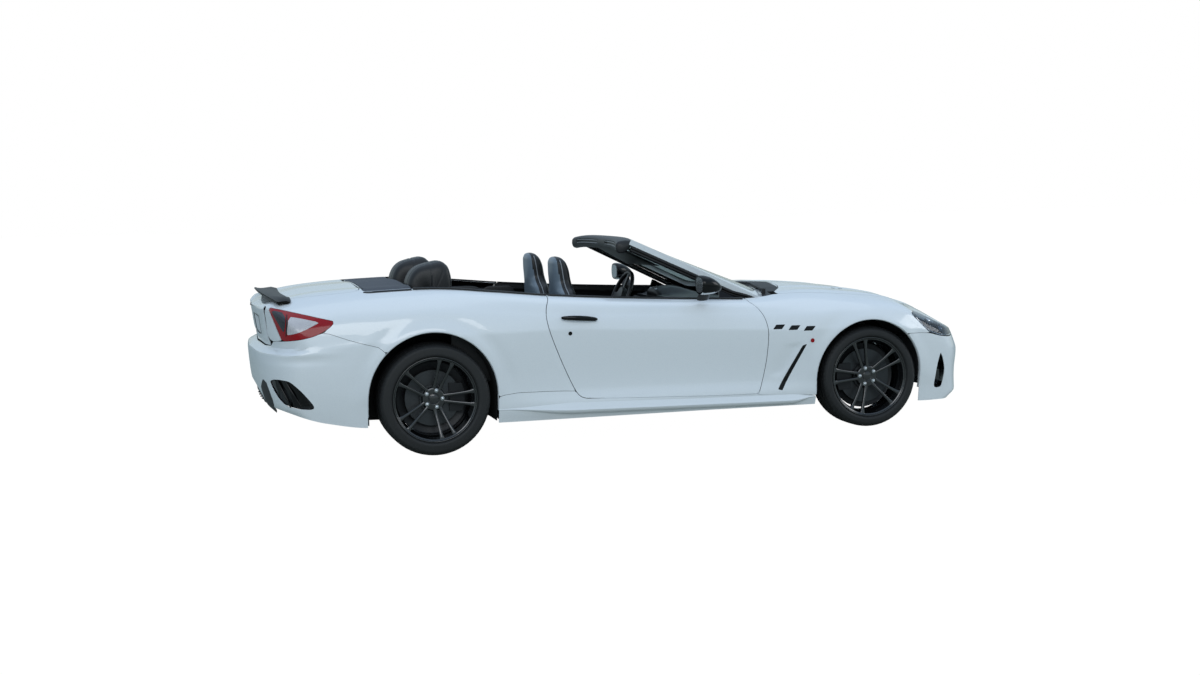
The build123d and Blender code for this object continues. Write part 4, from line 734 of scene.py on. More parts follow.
PAINTED = ("body_white", [PAINT, PLASTIC])              # slot, and the front and back materials
shut = SHUT_GAP
panel("bonnet_skin", keep([(bonnet, shut)], [(front_bumper, shut), (headlamp, shut)]), "bonnet_b", *PAINTED,
      node="bonnet")
panel("boot_lid_skin", keep([(boot, shut)]), "boot_b", *PAINTED, node="boot_lid")
panel("tonneau_cover", keep([(tonneau, shut)]), "tonneau_b", "tonneau_cloth", [CLOTH, PLASTIC],
      node="tonneau_lid")
panel("front_bumper_skin", keep([front_bumper], [arch, (bonnet, shut), headlamp, mouth, low_intake, slot]),
      "body", *PAINTED, node="front_bumper")
panel("rear_bumper_skin", keep([rear_bumper], [arch, corner_vent, diffuser]), "body", *PAINTED,
      node="rear_bumper")
panel("fender_skins", keep([(X_DOOR_FRONT - 0.25) - grid_x], [
    arch, (door, shut), sill, front_bumper, headlamp, (bonnet_opening, shut), cabin]), "body", *PAINTED,
      node="fenders", side="pair")
# nothing of the quarters is left in the slot between the boot lid and the tonneau cover
hinge_strip = np.maximum.reduce([grid_y - 0.62, grid_x - (X_REAR - 0.360), (X_REAR - 0.380) - grid_x])
panel("quarter_skins", keep([grid_x - (X_DOOR_REAR + 0.30)], [
    arch, (door, shut), sill, rear_bumper, from_side["tail_lamp"], (boot, shut), (tonneau, shut),
    hinge_strip, cabin]), "body", *PAINTED, node="rear_quarters", side="pair")
panel("sill_skins", keep([sill], [arch, (door, shut)]), "body", *PAINTED, node="sills", side="pair")
for side in ("right", "left"):
    panel(f"door_skin_{side}", keep([(door, shut)], [cabin]), f"door_{side[0]}", "body_white",
          [PAINT, LEATHER], node=f"door_{side}", side=side, inner=door_inner, dark_rim=0.86)
panel("headlamp_lenses", keep([headlamp], [(bonnet, shut)]), "body", "lamp_clear", [CLEAR], depth=0.003,
      node="headlamps", side="pair")
panel("tail_lamp_lenses", keep([tail_lamp]), "body", "lamp_red", [RED_LENS], depth=0.003,
      node="tail_lamps", side="pair")


# ---- wheels ------------------------------------------------------------------------------------
RIM_R, RIM_LIP, RIM_INSET = 0.254, 0.014, 0.012
OFFSET, BOLT_CIRCLE_R = 0.038, 0.054
SPOKE_PAIRS, SPOKE_ROOT, SPOKE_RUN = 5, 0.040, 0.2065         # radius at the root and length along it
TYRE_ROWS, TYRE_SEGMENTS = 28, 288              # rows of a side wall and of half the tread
SIPES, SIPE_HALF, SIPE_DEPTH, SIPE_SLANT = 72, 0.125, 0.0032, 26     # SIPE_HALF is a share of the pitch
GROOVE_HALF, GROOVE_DEPTH, CROWN_DROP = 0.0042, 0.006, 0.0012
WHEEL_TURN = {"front": 33.0, "rear": 0.0}        # degrees from one spoke pair pointing forward


def lathe(profile, segments=96, wave=None):
    """Closed ring swept round the Y axis from a closed loop of (radius, y); wave(radius, y, angle)
    gives the radius taken away at each place."""
    profile = np.asarray(profile, float)
    angle = np.linspace(0, 2 * np.pi, segments, endpoint=False)[:, None]
    radius, y = np.broadcast_to(profile[:, 0], (segments, len(profile))), profile[:, 1]
    if wave is not None:
        radius = radius - wave(radius, y[None, :], angle)
    points = np.stack([radius * np.cos(angle), np.broadcast_to(y, radius.shape),
                       radius * np.sin(angle)], -1).reshape(-1, 3)
    r = np.arange(segments)[:, None] * len(profile)
    c = np.arange(len(profile))[None, :]
    ahead, beside = (r + len(profile)) % (segments * len(profile)), (c + 1) % len(profile)
    return points, np.stack([r + c, ahead + c, ahead + beside, r + beside], -1).reshape(-1, 4).tolist()


def combined(*parts):
    """Several (points, faces) meshes as one."""
    points, faces, start = [], [], 0
    for p, f in parts:
        points.append(np.asarray(p, float))
        faces += [[v + start for v in face] for face in f]
        start += len(p)
    return np.vstack(points), faces


def put(mesh, x, half, z, turn, side):
    """A wheel part made round the origin for the left side: turned about Y by an angle in degrees,
    moved to its hub, and mirrored for the right side."""
    points, faces = mesh
    a = math.radians(turn)
    px, py, pz = points.T
    points = np.stack([px * math.cos(a) - pz * math.sin(a) + x, py + half,
                       px * math.sin(a) + pz * math.cos(a) + z], -1)
    return mirrored((points, faces)) if side == "right" else (points, faces)


def tyre_mesh(radius, width):
    """Carcass with a rim guard, rounded shoulders and a raised rib on each side wall; tread cut by
    four grooves and slanted sipes."""
    h, b = width / 2, width / 2 - RIM_INSET
    half = smooth([0, 0.12, 0.25, 0.42, 0.62, 0.80, 0.92, 1.0],
                  [(RIM_R + 0.001, b - 0.010), (RIM_R + 0.014, b - 0.003), (RIM_R + 0.022, h - 0.004),
                   (RIM_R + 0.034, h - 0.001), (radius - 0.030, h - 0.003), (radius - 0.013, h - 0.015),
                   (radius - 0.004, h - 0.030), (radius - CROWN_DROP, h - 0.046)],
                  np.linspace(0, 1, TYRE_ROWS))
    y = np.linspace(half[-1, 1], 0, TYRE_ROWS)[1:]
    crown = np.stack([radius - CROWN_DROP * (y / half[-1, 1]) ** 2, y], -1)
    half = np.vstack([half, crown])
    outer = np.vstack([half, (half * (1, -1))[-2::-1]])
    inner = [(RIM_R + 0.002, -b + 0.030), (RIM_R + 0.020, -h + 0.022), (radius - 0.050, -h + 0.014),
             (radius - 0.016, 0), (radius - 0.050, h - 0.014), (RIM_R + 0.020, h - 0.022),
             (RIM_R + 0.002, b - 0.030)]

    def tread(r, y, angle):
        """Depth of the grooves, four rings and sipes that slant away from the middle, less the
        height of the ribs."""
        on_tread = (r > radius - 0.012) & (np.abs(y) < h)
        rings = sum(np.exp(-((y - place * h) / GROOVE_HALF) ** 4) for place in (-0.62, -0.22, 0.22, 0.62))
        sipe = np.abs((angle * SIPES / (2 * np.pi) + np.abs(y) * SIPE_SLANT) % 1.0 - 0.5) < SIPE_HALF
        shoulder = (np.abs(y) > 0.70 * h) & (r > radius - 0.024)
        blocks = SIPE_DEPTH * (sipe & (on_tread & (np.abs(y) > 0.30 * h) | shoulder))
        ribs = 0.0007 * (np.abs(r - RIM_R - 0.030) < 0.003) * (np.abs(y) > 0.8 * h)
        return np.maximum(GROOVE_DEPTH * rings * on_tread, blocks) - ribs
    return lathe(np.vstack([outer, inner]), TYRE_SEGMENTS, tread)


def rim_mesh(width):
    """Barrel with a stepped outer lip and a plain inner lip, as one closed ring."""
    b = width / 2 - RIM_INSET
    lip = RIM_R + RIM_LIP
    loop = [(lip, b - 0.004), (lip - 0.002, b), (lip - 0.006, b + 0.001), (RIM_R + 0.005, b - 0.001),
            (RIM_R + 0.003, b - 0.006), (RIM_R - 0.003, b - 0.009), (RIM_R - 0.005, b - 0.010),
            (RIM_R - 0.007, b - 0.018), (RIM_R - 0.010, b - 0.030), (0.236, b - 0.056),
            (0.231, b - 0.075), (0.230, -b + 0.060), (0.246, -b + 0.038), (0.247, -b + 0.006),
            (0.252, -b), (lip - 0.003, -b), (lip, -b + 0.004), (RIM_R + 0.001, -b + 0.012),
            (RIM_R, -b + 0.042), (0.238, -b + 0.062), (0.238, b - 0.062), (RIM_R, b - 0.040),
            (RIM_R + 0.001, b - 0.012)]
    return lathe(rounded_outline(loop, 2), 128)


def spoke_mesh(width, hand):
    """One of a pair of bars from the hub to the lip: a rounded section, narrower at mid-span, whose
    centre line leans away from its twin."""
    b = width / 2 - RIM_INSET
    rows = 40
    t = np.linspace(0, 1, rows)
    r = SPOKE_ROOT + SPOKE_RUN * t
    centre = hand * (0.0155 + 0.0235 * t + 0.004 * t ** 3)
    half = 0.0125 - 0.0035 * np.sin(np.pi * t) + 0.004 * step(t, 0.86, 1.0)
    face = smooth([0, 0.15, 0.55, 0.9, 1.0], [
        OFFSET + 0.030, OFFSET + 0.033, OFFSET + 0.040 + (b - 0.096) * 0.4, b - 0.016, b - 0.012], t)
    depth = 0.034 - 0.010 * t
    round_y = np.array([0, -0.0006, -0.003, -0.008, -0.6, -1, -1, -0.6, -0.008, -0.003, -0.0006, 0])
    across = np.array([0.0, 0.72, 0.95, 1.0, 0.92, 0.62, -0.62, -0.92, -1.0, -0.95, -0.72, 0.0])
    scale = np.where(np.abs(round_y) > 0.1, depth[:, None], 1.0)
    y = face[:, None] + round_y * scale
    z = centre[:, None] + across * half[:, None]
    points = np.stack([np.broadcast_to(r[:, None], y.shape), y, z], -1)[:, :-1]
    return flipped((points.reshape(-1, 3), tube_faces(rows, points.shape[1])))


def turned_round(mesh, count):
    """Copies of a mesh turned evenly about the Y axis."""
    points, faces = mesh
    parts = []
    for k in range(count):
        a = 2 * math.pi * k / count
        parts.append((np.stack([points[:, 0] * math.cos(a) - points[:, 2] * math.sin(a), points[:, 1],
                                points[:, 0] * math.sin(a) + points[:, 2] * math.cos(a)], -1), faces))
    return combined(*parts)


def hub_mesh():
    """Hub face: a ring between the cap's bore and the roots of the spokes."""
    loop = [(0.033, OFFSET), (0.033, OFFSET + 0.031), (0.037, OFFSET + 0.033), (0.066, OFFSET + 0.032),
            (0.074, OFFSET + 0.026), (0.078, OFFSET + 0.010), (0.078, OFFSET)]
    return lathe(rounded_outline(loop, 2), 96)


def bolt_mesh():
    """A wheel bolt: a six-sided head with a rounded end, standing in line with a spoke pair."""
    count = 24
    sides = np.linspace(0, 2 * np.pi, count, endpoint=False)
    hexagon = 1 + 0.07 * np.abs(np.cos(3 * sides))
    steps = ((0.0118, OFFSET + 0.030), (0.0118, OFFSET + 0.0335), (0.0088, OFFSET + 0.034),
             (0.0088, OFFSET + 0.041), (0.0070, OFFSET + 0.0435), (0.0008, OFFSET + 0.044))
    rings = [np.stack([BOLT_CIRCLE_R + radius * shape * np.cos(sides), np.full(count, y),
                       radius * shape * np.sin(sides)], -1)
             for (radius, y), shape in zip(steps, (1, 1, hexagon, hexagon, 1, 1))]
    return flipped((np.vstack(rings), tube_faces(len(rings), count)))


def cap_mesh():
    """Plain centre cap with a raised ring."""
    loop = [(0.0005, OFFSET + 0.034), (0.020, OFFSET + 0.033), (0.0275, OFFSET + 0.0305),
            (0.030, OFFSET + 0.033), (0.0325, OFFSET + 0.032), (0.0325, OFFSET + 0.022),
            (0.0005, OFFSET + 0.022)]
    return lathe(loop, 64)


for corner, (hub_x, hub_y, radius, width) in WHEELS.items():
    meshes = (
        ("tyre", tyre_mesh(radius, width), "tyre", RUBBER, True),
        ("rim", combined(rim_mesh(width), hub_mesh(), turned_round(combined(
            spoke_mesh(width, 1), spoke_mesh(width, -1)), SPOKE_PAIRS)), "rim_black", BLACK_ENAMEL, True),
        ("bolts", turned_round(bolt_mesh(), SPOKE_PAIRS), "steel", CHROME, False),
        ("cap", cap_mesh(), "rim_black", BLACK_ENAMEL, False),
    )
    for side in ("left", "right"):
        body = f"wheel_{corner[0]}{side[0]}"
        for kind, mesh, slot, material, stands_in in meshes:
            points, faces = put(mesh, hub_x, hub_y, radius, WHEEL_TURN[corner], side)
            made = piece(f"{kind}_{corner}_{side}_dressed", points, faces, body, slot, material, sharp=50)
            if stands_in:
                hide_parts(f"{kind}_{corner}_{side}")

for name, material in (
        ("brake_disc_front_left", IRON), ("brake_disc_front_right", IRON), ("brake_disc_rear_left", IRON),
        ("brake_disc_rear_right", IRON), ("knuckle_left", CALIPER), ("knuckle_right", CALIPER),
        ("rear_axle", CALIPER), ("front_suspension", CALIPER), ("arch_liners", LINER), ("floor_pan", PAN),
        ("diffuser", PLASTIC), ("exhaust", STEEL), ("grilles", GLOSS_PLASTIC), ("spoiler", GLOSS_PLASTIC),
        ("cowl_panel", PLASTIC), ("windscreen_frame", PAINT), ("windscreen_glass", GLASS),
        ("dashboard", LEATHER), ("front_seats", LEATHER), ("rear_seats", LEATHER),
        ("rear_headrests", LEATHER), ("steering_wheel", LEATHER), ("mirror_left", GLOSS_PLASTIC),
        ("mirror_right", GLOSS_PLASTIC), ("engine_block", ALLOY)):
    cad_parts[name].data.materials.clear()
    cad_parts[name].data.materials.append(material)


# ---- small surface pieces ------------------------------------------------------------------------
def tile(name, outline, body, slot, material, place=on_side, out=0.0008, depth=0.004, cell=0.004,
         corners=2):
    """A mirrored pair of flush pieces cut to an outline on a fine grid of the body surface, standing
    out a little and reaching back below it. place turns the outline's two coordinates into points,
    and body is one body or one for each side."""
    outline = rounded_outline(outline, corners)
    low, high = outline.min(0) - 2 * cell, outline.max(0) + 2 * cell
    counts = np.ceil((high - low) / cell).astype(int) + 1
    a, b = np.meshgrid(*[np.linspace(*ends) for ends in zip(low, high, counts)], indexing="ij")
    grid = place(a, b)
    normal = grid_normals(grid)
    outward = np.sign((normal * (grid - (0, 0, 0.5))).sum(-1).mean())
    normal = normal * outward
    points, normals, faces = trimmed(distance(outline, a, b), grid, normal)
    if outward < 0:
        faces = [f[::-1] for f in faces]
    mesh, faces, _ = thick(points + normals * out, points - normals * depth, faces)
    for side in ("right", "left"):
        points, turned = mirrored((mesh, faces)) if side == "left" else (mesh, faces)
        piece(f"{name}_{side}", points, turned, body[side] if isinstance(body, dict) else body, slot,
              material, sharp=40)


def sweep(path, profile, closed=False, up=(0.0, 0.0, 1.0)):
    """A profile of (sideways, upwards) offsets carried along a path. profile is one loop, or one loop
    for every point of the path."""
    path = np.asarray(path, float)
    ahead = np.roll(path, -1, 0) - np.roll(path, 1, 0) if closed else np.gradient(path, axis=0)
    ahead /= np.linalg.norm(ahead, axis=1, keepdims=True)
    up = np.broadcast_to(np.asarray(up, float), path.shape)
    sideways = np.cross(up, ahead)
    sideways /= np.maximum(np.linalg.norm(sideways, axis=1, keepdims=True), 1e-9)
    upward = np.cross(ahead, sideways)
    profile = np.broadcast_to(np.asarray(profile, float), (len(path),) + np.shape(profile)[-2:])
    points = (path[:, None] + sideways[:, None] * profile[..., :1] + upward[:, None] * profile[..., 1:])
    n, rows = profile.shape[1], len(path)
    faces = tube_faces(rows, n)
    if closed:
        last = (rows - 1) * n
        faces[-2:] = [[last + k, last + (k + 1) % n, (k + 1) % n, k] for k in range(n)]
    return flipped((points.reshape(-1, 3), faces))


def oval(width, height, count=12):
    """Loop of an ellipse."""
    a = np.linspace(0, 2 * np.pi, count, endpoint=False)
    return np.stack([width * np.cos(a), height * np.sin(a)], -1)


def along(knots, count):
    """Points evenly spread along a smooth line through the knots."""
    knots = np.asarray(knots, float)
    run = np.concatenate([[0], np.cumsum(np.linalg.norm(np.diff(knots, axis=0), axis=1))])
    at = np.linspace(0, run[-1], count)
    slope = np.gradient(knots, run, axis=0)
    i = np.clip(np.searchsorted(run, at, side="right") - 1, 0, len(run) - 2)
    h = (run[i + 1] - run[i])[:, None]
    t = (at - run[i])[:, None] / h
    return cubic(knots[i], knots[i + 1], slope[i], slope[i + 1], h, t)


def both(name, mesh, bodies, slot, materials, face_slots=None):
    """A right-hand mesh and its mirror image, as two pieces. bodies is one body or a pair."""
    pair = bodies if isinstance(bodies, tuple) else (bodies, bodies)
    return (piece(f"{name}_right", *mesh, pair[0], slot, materials, face_slots, 45),
            piece(f"{name}_left", *mirrored(mesh), pair[1], slot, materials, face_slots, 45))


def box_mesh(x0, x1, y0, y1, z0, z1):
    """A box between two corners."""
    x, y, z = np.meshgrid((x0, x1), (y0, y1), (z0, z1), indexing="ij")
    points = np.stack([x.ravel(), y.ravel(), z.ravel()], -1)
    return points, [[0, 1, 3, 2], [4, 6, 7, 5], [0, 4, 5, 1], [2, 3, 7, 6], [0, 2, 6, 4], [1, 5, 7, 3]]


def loops_mesh(loops):
    """Closed surface through a stack of loops, its first and last loop filled."""
    return loops.reshape(-1, 3), tube_faces(*loops.shape[:2])


DOORS = {"right": "door_r", "left": "door_l"}
DOOR_PAIR = ("door_r", "door_l")
# slanted outlet behind the front wheel and the three slots above it
OUTLET = tight(mm((X_FRONT - 0.462, 586), (X_FRONT - 0.493, 576), (X_FRONT - 0.664, 292),
                  (X_FRONT - 0.634, 284)), 0.012)
tile("side_outlet", OUTLET, "body", "gloss_black", GLOSS_PLASTIC)
SLOT_X, SLOT_PITCH = X_FRONT - 0.699, 0.106
for k in range(3):
    x, z = SLOT_X + SLOT_PITCH * k, 693 - 9 * k
    outline = mm((x - 0.002, z - 1), (x + 0.024, z + 28), (x + 0.086, z + 27), (x + 0.060, z - 2))
    tile(f"fender_slot_{k + 1}", tight(outline, 0.010), "body", "gloss_black", GLOSS_PLASTIC, cell=0.003)


def disc(x, z, radius):
    """Round outline."""
    a = np.linspace(0, 2 * np.pi, 20, endpoint=False)
    return np.stack([x + radius * np.cos(a), z + radius * np.sin(a)], -1)


tile("side_repeater", disc(X_FRONT - 0.424, 0.607, 0.014), "body", "lamp_red", RED_LENS,
     cell=0.003, out=0.003)
tile("key_cylinder", disc(X_DOOR_REAR + 0.150, 0.728, 0.013), DOORS, "gloss_black", GLOSS_PLASTIC,
     cell=0.003, out=0.0015)

# door handle: a bar that stands out and swells at its middle, with a bright strip underneath
HANDLE_X, HANDLE_Z = (X_DOOR_REAR + 0.096, X_DOOR_REAR + 0.330), (0.829, 0.811)
t = np.linspace(0, 1, 32)
bar = on_side(HANDLE_X[0] + (HANDLE_X[1] - HANDLE_X[0]) * t, HANDLE_Z[0] + (HANDLE_Z[1] - HANDLE_Z[0]) * t,
              0.012 + 0.020 * np.sin(np.pi * t) ** 0.5)
swell = (0.35 + 0.65 * np.sin(np.pi * t) ** 0.4)[:, None, None]
arched = bar + (0, 0, 0.004) * np.sin(np.pi * t)[:, None]
both("door_handle", sweep(arched, oval(0.009, 0.0155) * swell), DOOR_PAIR, "gloss_black", GLOSS_PLASTIC)
both("door_handle_strip", sweep(bar - (0, -0.004, 0.0125), oval(0.006, 0.0035) * swell), DOOR_PAIR,
     "steel", CHROME)
cup = disc(0, 0, 1) * (0.080, 0.020) + (sum(HANDLE_X) / 2, sum(HANDLE_Z) / 2 - 0.002)
tile("door_handle_cup", cup, DOORS, "body_white", PAINT, out=-0.0015, cell=0.005)

# ---- windscreen ---------------------------------------------------------------------------------
BASE_SIDE = np.array((X_FRONT - 0.741, 0.742, 0.905))
HEAD_SIDE = np.array((X_FRONT - 1.556, 0.592, 1.296))
BASE_BOW, HEAD_BOW = 0.230, 0.062
SLOPE = math.hypot(HEAD_SIDE[0] - BASE_SIDE[0], HEAD_SIDE[2] - BASE_SIDE[2])


def screen(up, across, below=0.0):
    """Points of the windscreen: up is the share of the slope, across runs from -1 to 1, and every
    level line is an arc of a circle."""
    up, across = np.broadcast_arrays(np.asarray(up, float), np.asarray(across, float))
    side = BASE_SIDE + (HEAD_SIDE - BASE_SIDE) * up[..., None]
    bow = BASE_BOW + (HEAD_BOW - BASE_BOW) * up
    radius = (side[..., 1] ** 2 + bow ** 2) / (2 * bow)
    y = across * side[..., 1]
    x = side[..., 0] + np.sqrt(radius ** 2 - y ** 2) - (radius - bow)
    return np.stack([x - below * SLOPE / (HEAD_SIDE[2] - BASE_SIDE[2]), y, side[..., 2]], -1)


def screen_part(name, outside, inside, out, depth, slot, materials, node=None):
    """Part of the screen surface inside one rounded frame and outside another; None stands for no
    frame. A frame is its margin from the sides, its foot and head up the slope and the radius of
    its corners, so that it follows the taper of the screen."""
    up, across = np.meshgrid(np.linspace(-0.06, 1.0, 86), np.linspace(-1, 1, 121), indexing="ij")
    grid = screen(up, across)
    half = BASE_SIDE[1] + (HEAD_SIDE[1] - BASE_SIDE[1]) * up
    from_side, height = half - np.abs(across) * half, up * SLOPE

    def inner(margin, low, high, radius):
        """Signed distance from a rounded frame, negative inside it."""
        a = np.maximum(margin - from_side, np.maximum(low - height, height - high)) + radius
        b = np.hypot(np.maximum(margin + radius - from_side, 0),
                     np.maximum(np.maximum(low + radius - height, height - high + radius), 0))
        return np.where(b > 0, b, a) - radius
    field = -np.ones_like(half) if outside is None else inner(*outside)
    if inside is not None:
        field = np.maximum(field, -inner(*inside))
    points, normals, faces = trimmed(field, grid, -grid_normals(grid))
    faces = [f[::-1] for f in faces]
    mesh, faces, slots = thick(points + normals * out, points - normals * depth, faces)
    made = piece(name, mesh, faces, "body", slot, materials, slots if len(materials) > 1 else None, 40)
    if node:
        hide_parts(node)


PILLAR = (0.058, 0.050 * SLOPE, 0.925 * SLOPE, 0.030)       # margin, foot, head and corner radius
GLASS_EDGE = (0.052, 0.042 * SLOPE, 0.935 * SLOPE, 0.034)
CLEAR_EDGE = (0.080, 0.085 * SLOPE, 0.885 * SLOPE, 0.045)
screen_part("windscreen_pillars", None, PILLAR, 0.002, 0.034, "body_white", [PAINT, LEATHER],
            node="windscreen_frame")
screen_part("windscreen_pane", GLASS_EDGE, None, -0.002, 0.007, "screen_glass", [GLASS],
            node="windscreen_glass")
screen_part("windscreen_border", GLASS_EDGE, CLEAR_EDGE, -0.0012, 0.0018, "gloss_black", [GLOSS_PLASTIC])
# direction square to the screen and into the cabin
SCREEN_IN = np.array([HEAD_SIDE[2] - BASE_SIDE[2], 0, HEAD_SIDE[0] - BASE_SIDE[0]]) * (-1, 0, 1) / SLOPE


def under_pillar(low, high, y_in, depth):
    """Line along a pillar on its cabin side; its foot rises to the pillar, clear of the door."""
    t = np.linspace(low, high, 60)
    reach = depth - 0.020 * (1 - step(t, 0.02, 0.20))
    return screen(t, -1.0) + (0, y_in, 0) + SCREEN_IN * reach[:, None]


both("pillar_seal", sweep(under_pillar(0.0, 0.975, 0.010, 0.045), oval(0.013, 0.011)), "body",
     "black_plastic", SEAL)
both("pillar_trim", sweep(under_pillar(0.02, 0.97, 0.030, 0.060), oval(0.020, 0.014)), "body",
     "black_leather", LEATHER)
# sun visors: pads under the head of the screen, thinning out towards their edges
VISOR_ROWS, VISOR_COLUMNS = 14, 24
visor_up, visor_across = np.meshgrid(np.linspace(0.62, 0.93, VISOR_ROWS),
                                     np.linspace(0.12, 0.86, VISOR_COLUMNS), indexing="ij")
puff = 0.010 * (1 - (2 * (visor_up - 0.775) / 0.31) ** 4) * (1 - (2 * (visor_across - 0.49) / 0.74) ** 6)
visor = screen(visor_up, -visor_across) + SCREEN_IN * (0.050 + 0.07 * (0.93 - visor_up))[..., None]
front = visor - SCREEN_IN * puff[..., None]
back = visor + SCREEN_IN * (puff + 0.004)[..., None]
mesh, faces, _ = thick(front.reshape(-1, 3), back.reshape(-1, 3), grid_faces(VISOR_ROWS, VISOR_COLUMNS))
both("sun_visor", (mesh, faces), "body", "black_leather", LEATHER)

# header: a padded beam along the top of the screen with rounded ends and two latch recesses
u = np.linspace(-1, 1, 181)
loop = rounded_outline([(0.016, 1.290), (0.004, 1.3025), (-0.040, 1.3065), (-0.086, 1.3005), (-0.103, 1.285),
                     (-0.105, 1.270), (-0.105, 1.250), (-0.094, 1.226), (-0.066, 1.218), (-0.036, 1.230),
                     (-0.004, 1.262)], 3)
edge = screen(1.0, u)
drop = 0.016 * np.abs(u) ** 6
end = np.sqrt(1 - np.clip((np.abs(u) - 0.970) / 0.0302, 0, 1) ** 2)[:, None]
core = np.array([-0.045, 1.262])
across_x, across_z = core[0] + (loop[:, 0] - core[0]) * end, core[1] + (loop[:, 1] - core[1]) * end
latch = (step(-np.abs(np.abs(u[:, None]) - 0.50), -0.345, -0.325)
         * np.exp(-((loop[:, 1] - 1.266) / 0.014) ** 6))
latch *= loop[:, 0] < -0.08
points = np.stack([edge[:, :1] + across_x + 0.014 * latch, np.broadcast_to(edge[:, 1:2], across_x.shape),
                   across_z - drop[:, None]], -1)
piece("screen_header", *flipped(loops_mesh(points)), "body", "black_leather", LEATHER, sharp=50)
t = np.linspace(0.17, 0.83, 40)
for height, which in ((1.276, "upper"), (1.256, "lower")):
    line = screen(1.0, -t)
    line = np.stack([line[:, 0] - 0.1035, line[:, 1], height - 0.016 * t ** 6], -1)
    both(f"latch_edge_{which}", sweep(line, oval(0.0022, 0.0022, 8)), "body", "steel", STEEL)

# ---- door mirrors ---------------------------------------------------------------------------------
MIRROR_ROWS, MIRROR_SIDES = 26, 40
MIRROR_Y, MIRROR_Z = -0.988, 1.006
a, b = np.meshgrid(np.linspace(0, 1, MIRROR_ROWS),
                   np.linspace(0, 2 * np.pi, MIRROR_SIDES, endpoint=False), indexing="ij")
swell = np.where(a < 0.10, 0.93 + 0.07 * np.sin(np.pi / 2 * a / 0.10),
                 np.clip(1 - ((a - 0.10) / 0.90) ** 1.7, 0, 1) ** 0.62)
corner = (np.abs(np.cos(b)) ** 2.7 + np.abs(np.sin(b)) ** 2.7) ** (-1 / 2.7)
ring_y, ring_z = 0.083 * swell * corner * np.cos(b), 0.063 * swell * corner * np.sin(b)
points = np.stack([0.336 + 0.148 * a, MIRROR_Y + ring_y - 0.012 * a,
                   MIRROR_Z + ring_z - 0.024 * a ** 2], -1).reshape(-1, 3)
faces = grid_faces(MIRROR_ROWS, MIRROR_SIDES, wrap=True) + [list(range(MIRROR_SIDES))[::-1]]
under = [1 if np.mean(points[f][:, 2]) < 0.958 else 0 for f in faces]      # the bright underside
right_mirror, left_mirror = both("mirror_shell", flipped((points, faces)), DOOR_PAIR, "gloss_black",
                                 [GLOSS_PLASTIC, CHROME], under)
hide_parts("mirror_right")
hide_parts("mirror_left")
ring = np.stack([np.full(MIRROR_SIDES, 0.3345), MIRROR_Y + 0.86 * ring_y[0],
                 MIRROR_Z + 0.84 * ring_z[0]], -1)
pane = np.vstack([ring, ring + (0.002, 0, 0)])
n = MIRROR_SIDES
pane_faces = [list(range(n)), list(range(n, 2 * n))[::-1]]
pane_faces += [[k, n + k, n + (k + 1) % n, (k + 1) % n] for k in range(n)]
both("mirror_glass", (pane, pane_faces), DOOR_PAIR, "steel", REFLECTOR)
foot = np.array([(0.400, -0.955, 0.975), (0.398, -0.930, 0.955), (0.396, -0.900, 0.930),
                 (0.400, -0.868, 0.905)])
both("mirror_foot", sweep(along(foot, 16), oval(0.040, 0.013), up=(0, 0.5, 1)), DOOR_PAIR,
     "gloss_black", GLOSS_PLASTIC)

# small sail-shaped plate between the mirror's foot and the windscreen pillar
sail = rounded_outline(mm((0.548, 889), (0.694, 884), (0.566, 948), (0.556, 948)), 1)
lean = (sail[:, 1] - 0.885) / 0.070
outer = np.stack([sail[:, 0], -0.778 + 0.036 * lean, sail[:, 1]], -1)
both("mirror_sail", loops_mesh(np.stack([outer, outer + (0, 0.012, 0)])), DOOR_PAIR, "gloss_black",
     GLOSS_PLASTIC)

# ---- sill ledge, diffuser wings and brake shields ----------------------------------------------
# ledge along the foot of the sill, fading out at both ends: it catches a line of sky light
LEDGE_REAR, LEDGE_FRONT = (X_REAR + 0.400, 0.268), (X_FRONT - 0.404, 0.232)      # x and z
LEDGE_FADED_IN, LEDGE_FADING_OUT = X_REAR + 0.900, X_FRONT - 0.560
LEDGE_LEAST = 0.1                                       # share of its section left at the ends
LEDGE_SECTION = np.array([(0.006, 0.046), (-0.016, -0.010), (-0.022, -0.020), (-0.018, -0.032),
                          (0.006, -0.046)])
ledge_x, ledge_z = np.linspace(LEDGE_REAR, LEDGE_FRONT, 70).T
fade = step(ledge_x, LEDGE_REAR[0], LEDGE_FADED_IN) * (1 - step(ledge_x, LEDGE_FADING_OUT, LEDGE_FRONT[0]))
ledge_size = (LEDGE_LEAST + (1 - LEDGE_LEAST) * fade)[:, None, None]
both("sill_ledge", sweep(on_side(ledge_x, ledge_z), LEDGE_SECTION * ledge_size), "body", "body_white",
     PAINT)
# black wings of the diffuser, wrapping round the bumper's corners: distance out and height
DIFFUSER_WING = ((0.465, 0.270), (0.465, 0.440), (0.560, 0.500), (0.622, 0.482), (0.645, 0.420),
                 (0.650, 0.375), (0.632, 0.340), (0.580, 0.300))
tile("diffuser_wing", tight(DIFFUSER_WING, 0.02), "body", "black_plastic", PLASTIC, place=on_tail,
     out=0.0012, cell=0.006)
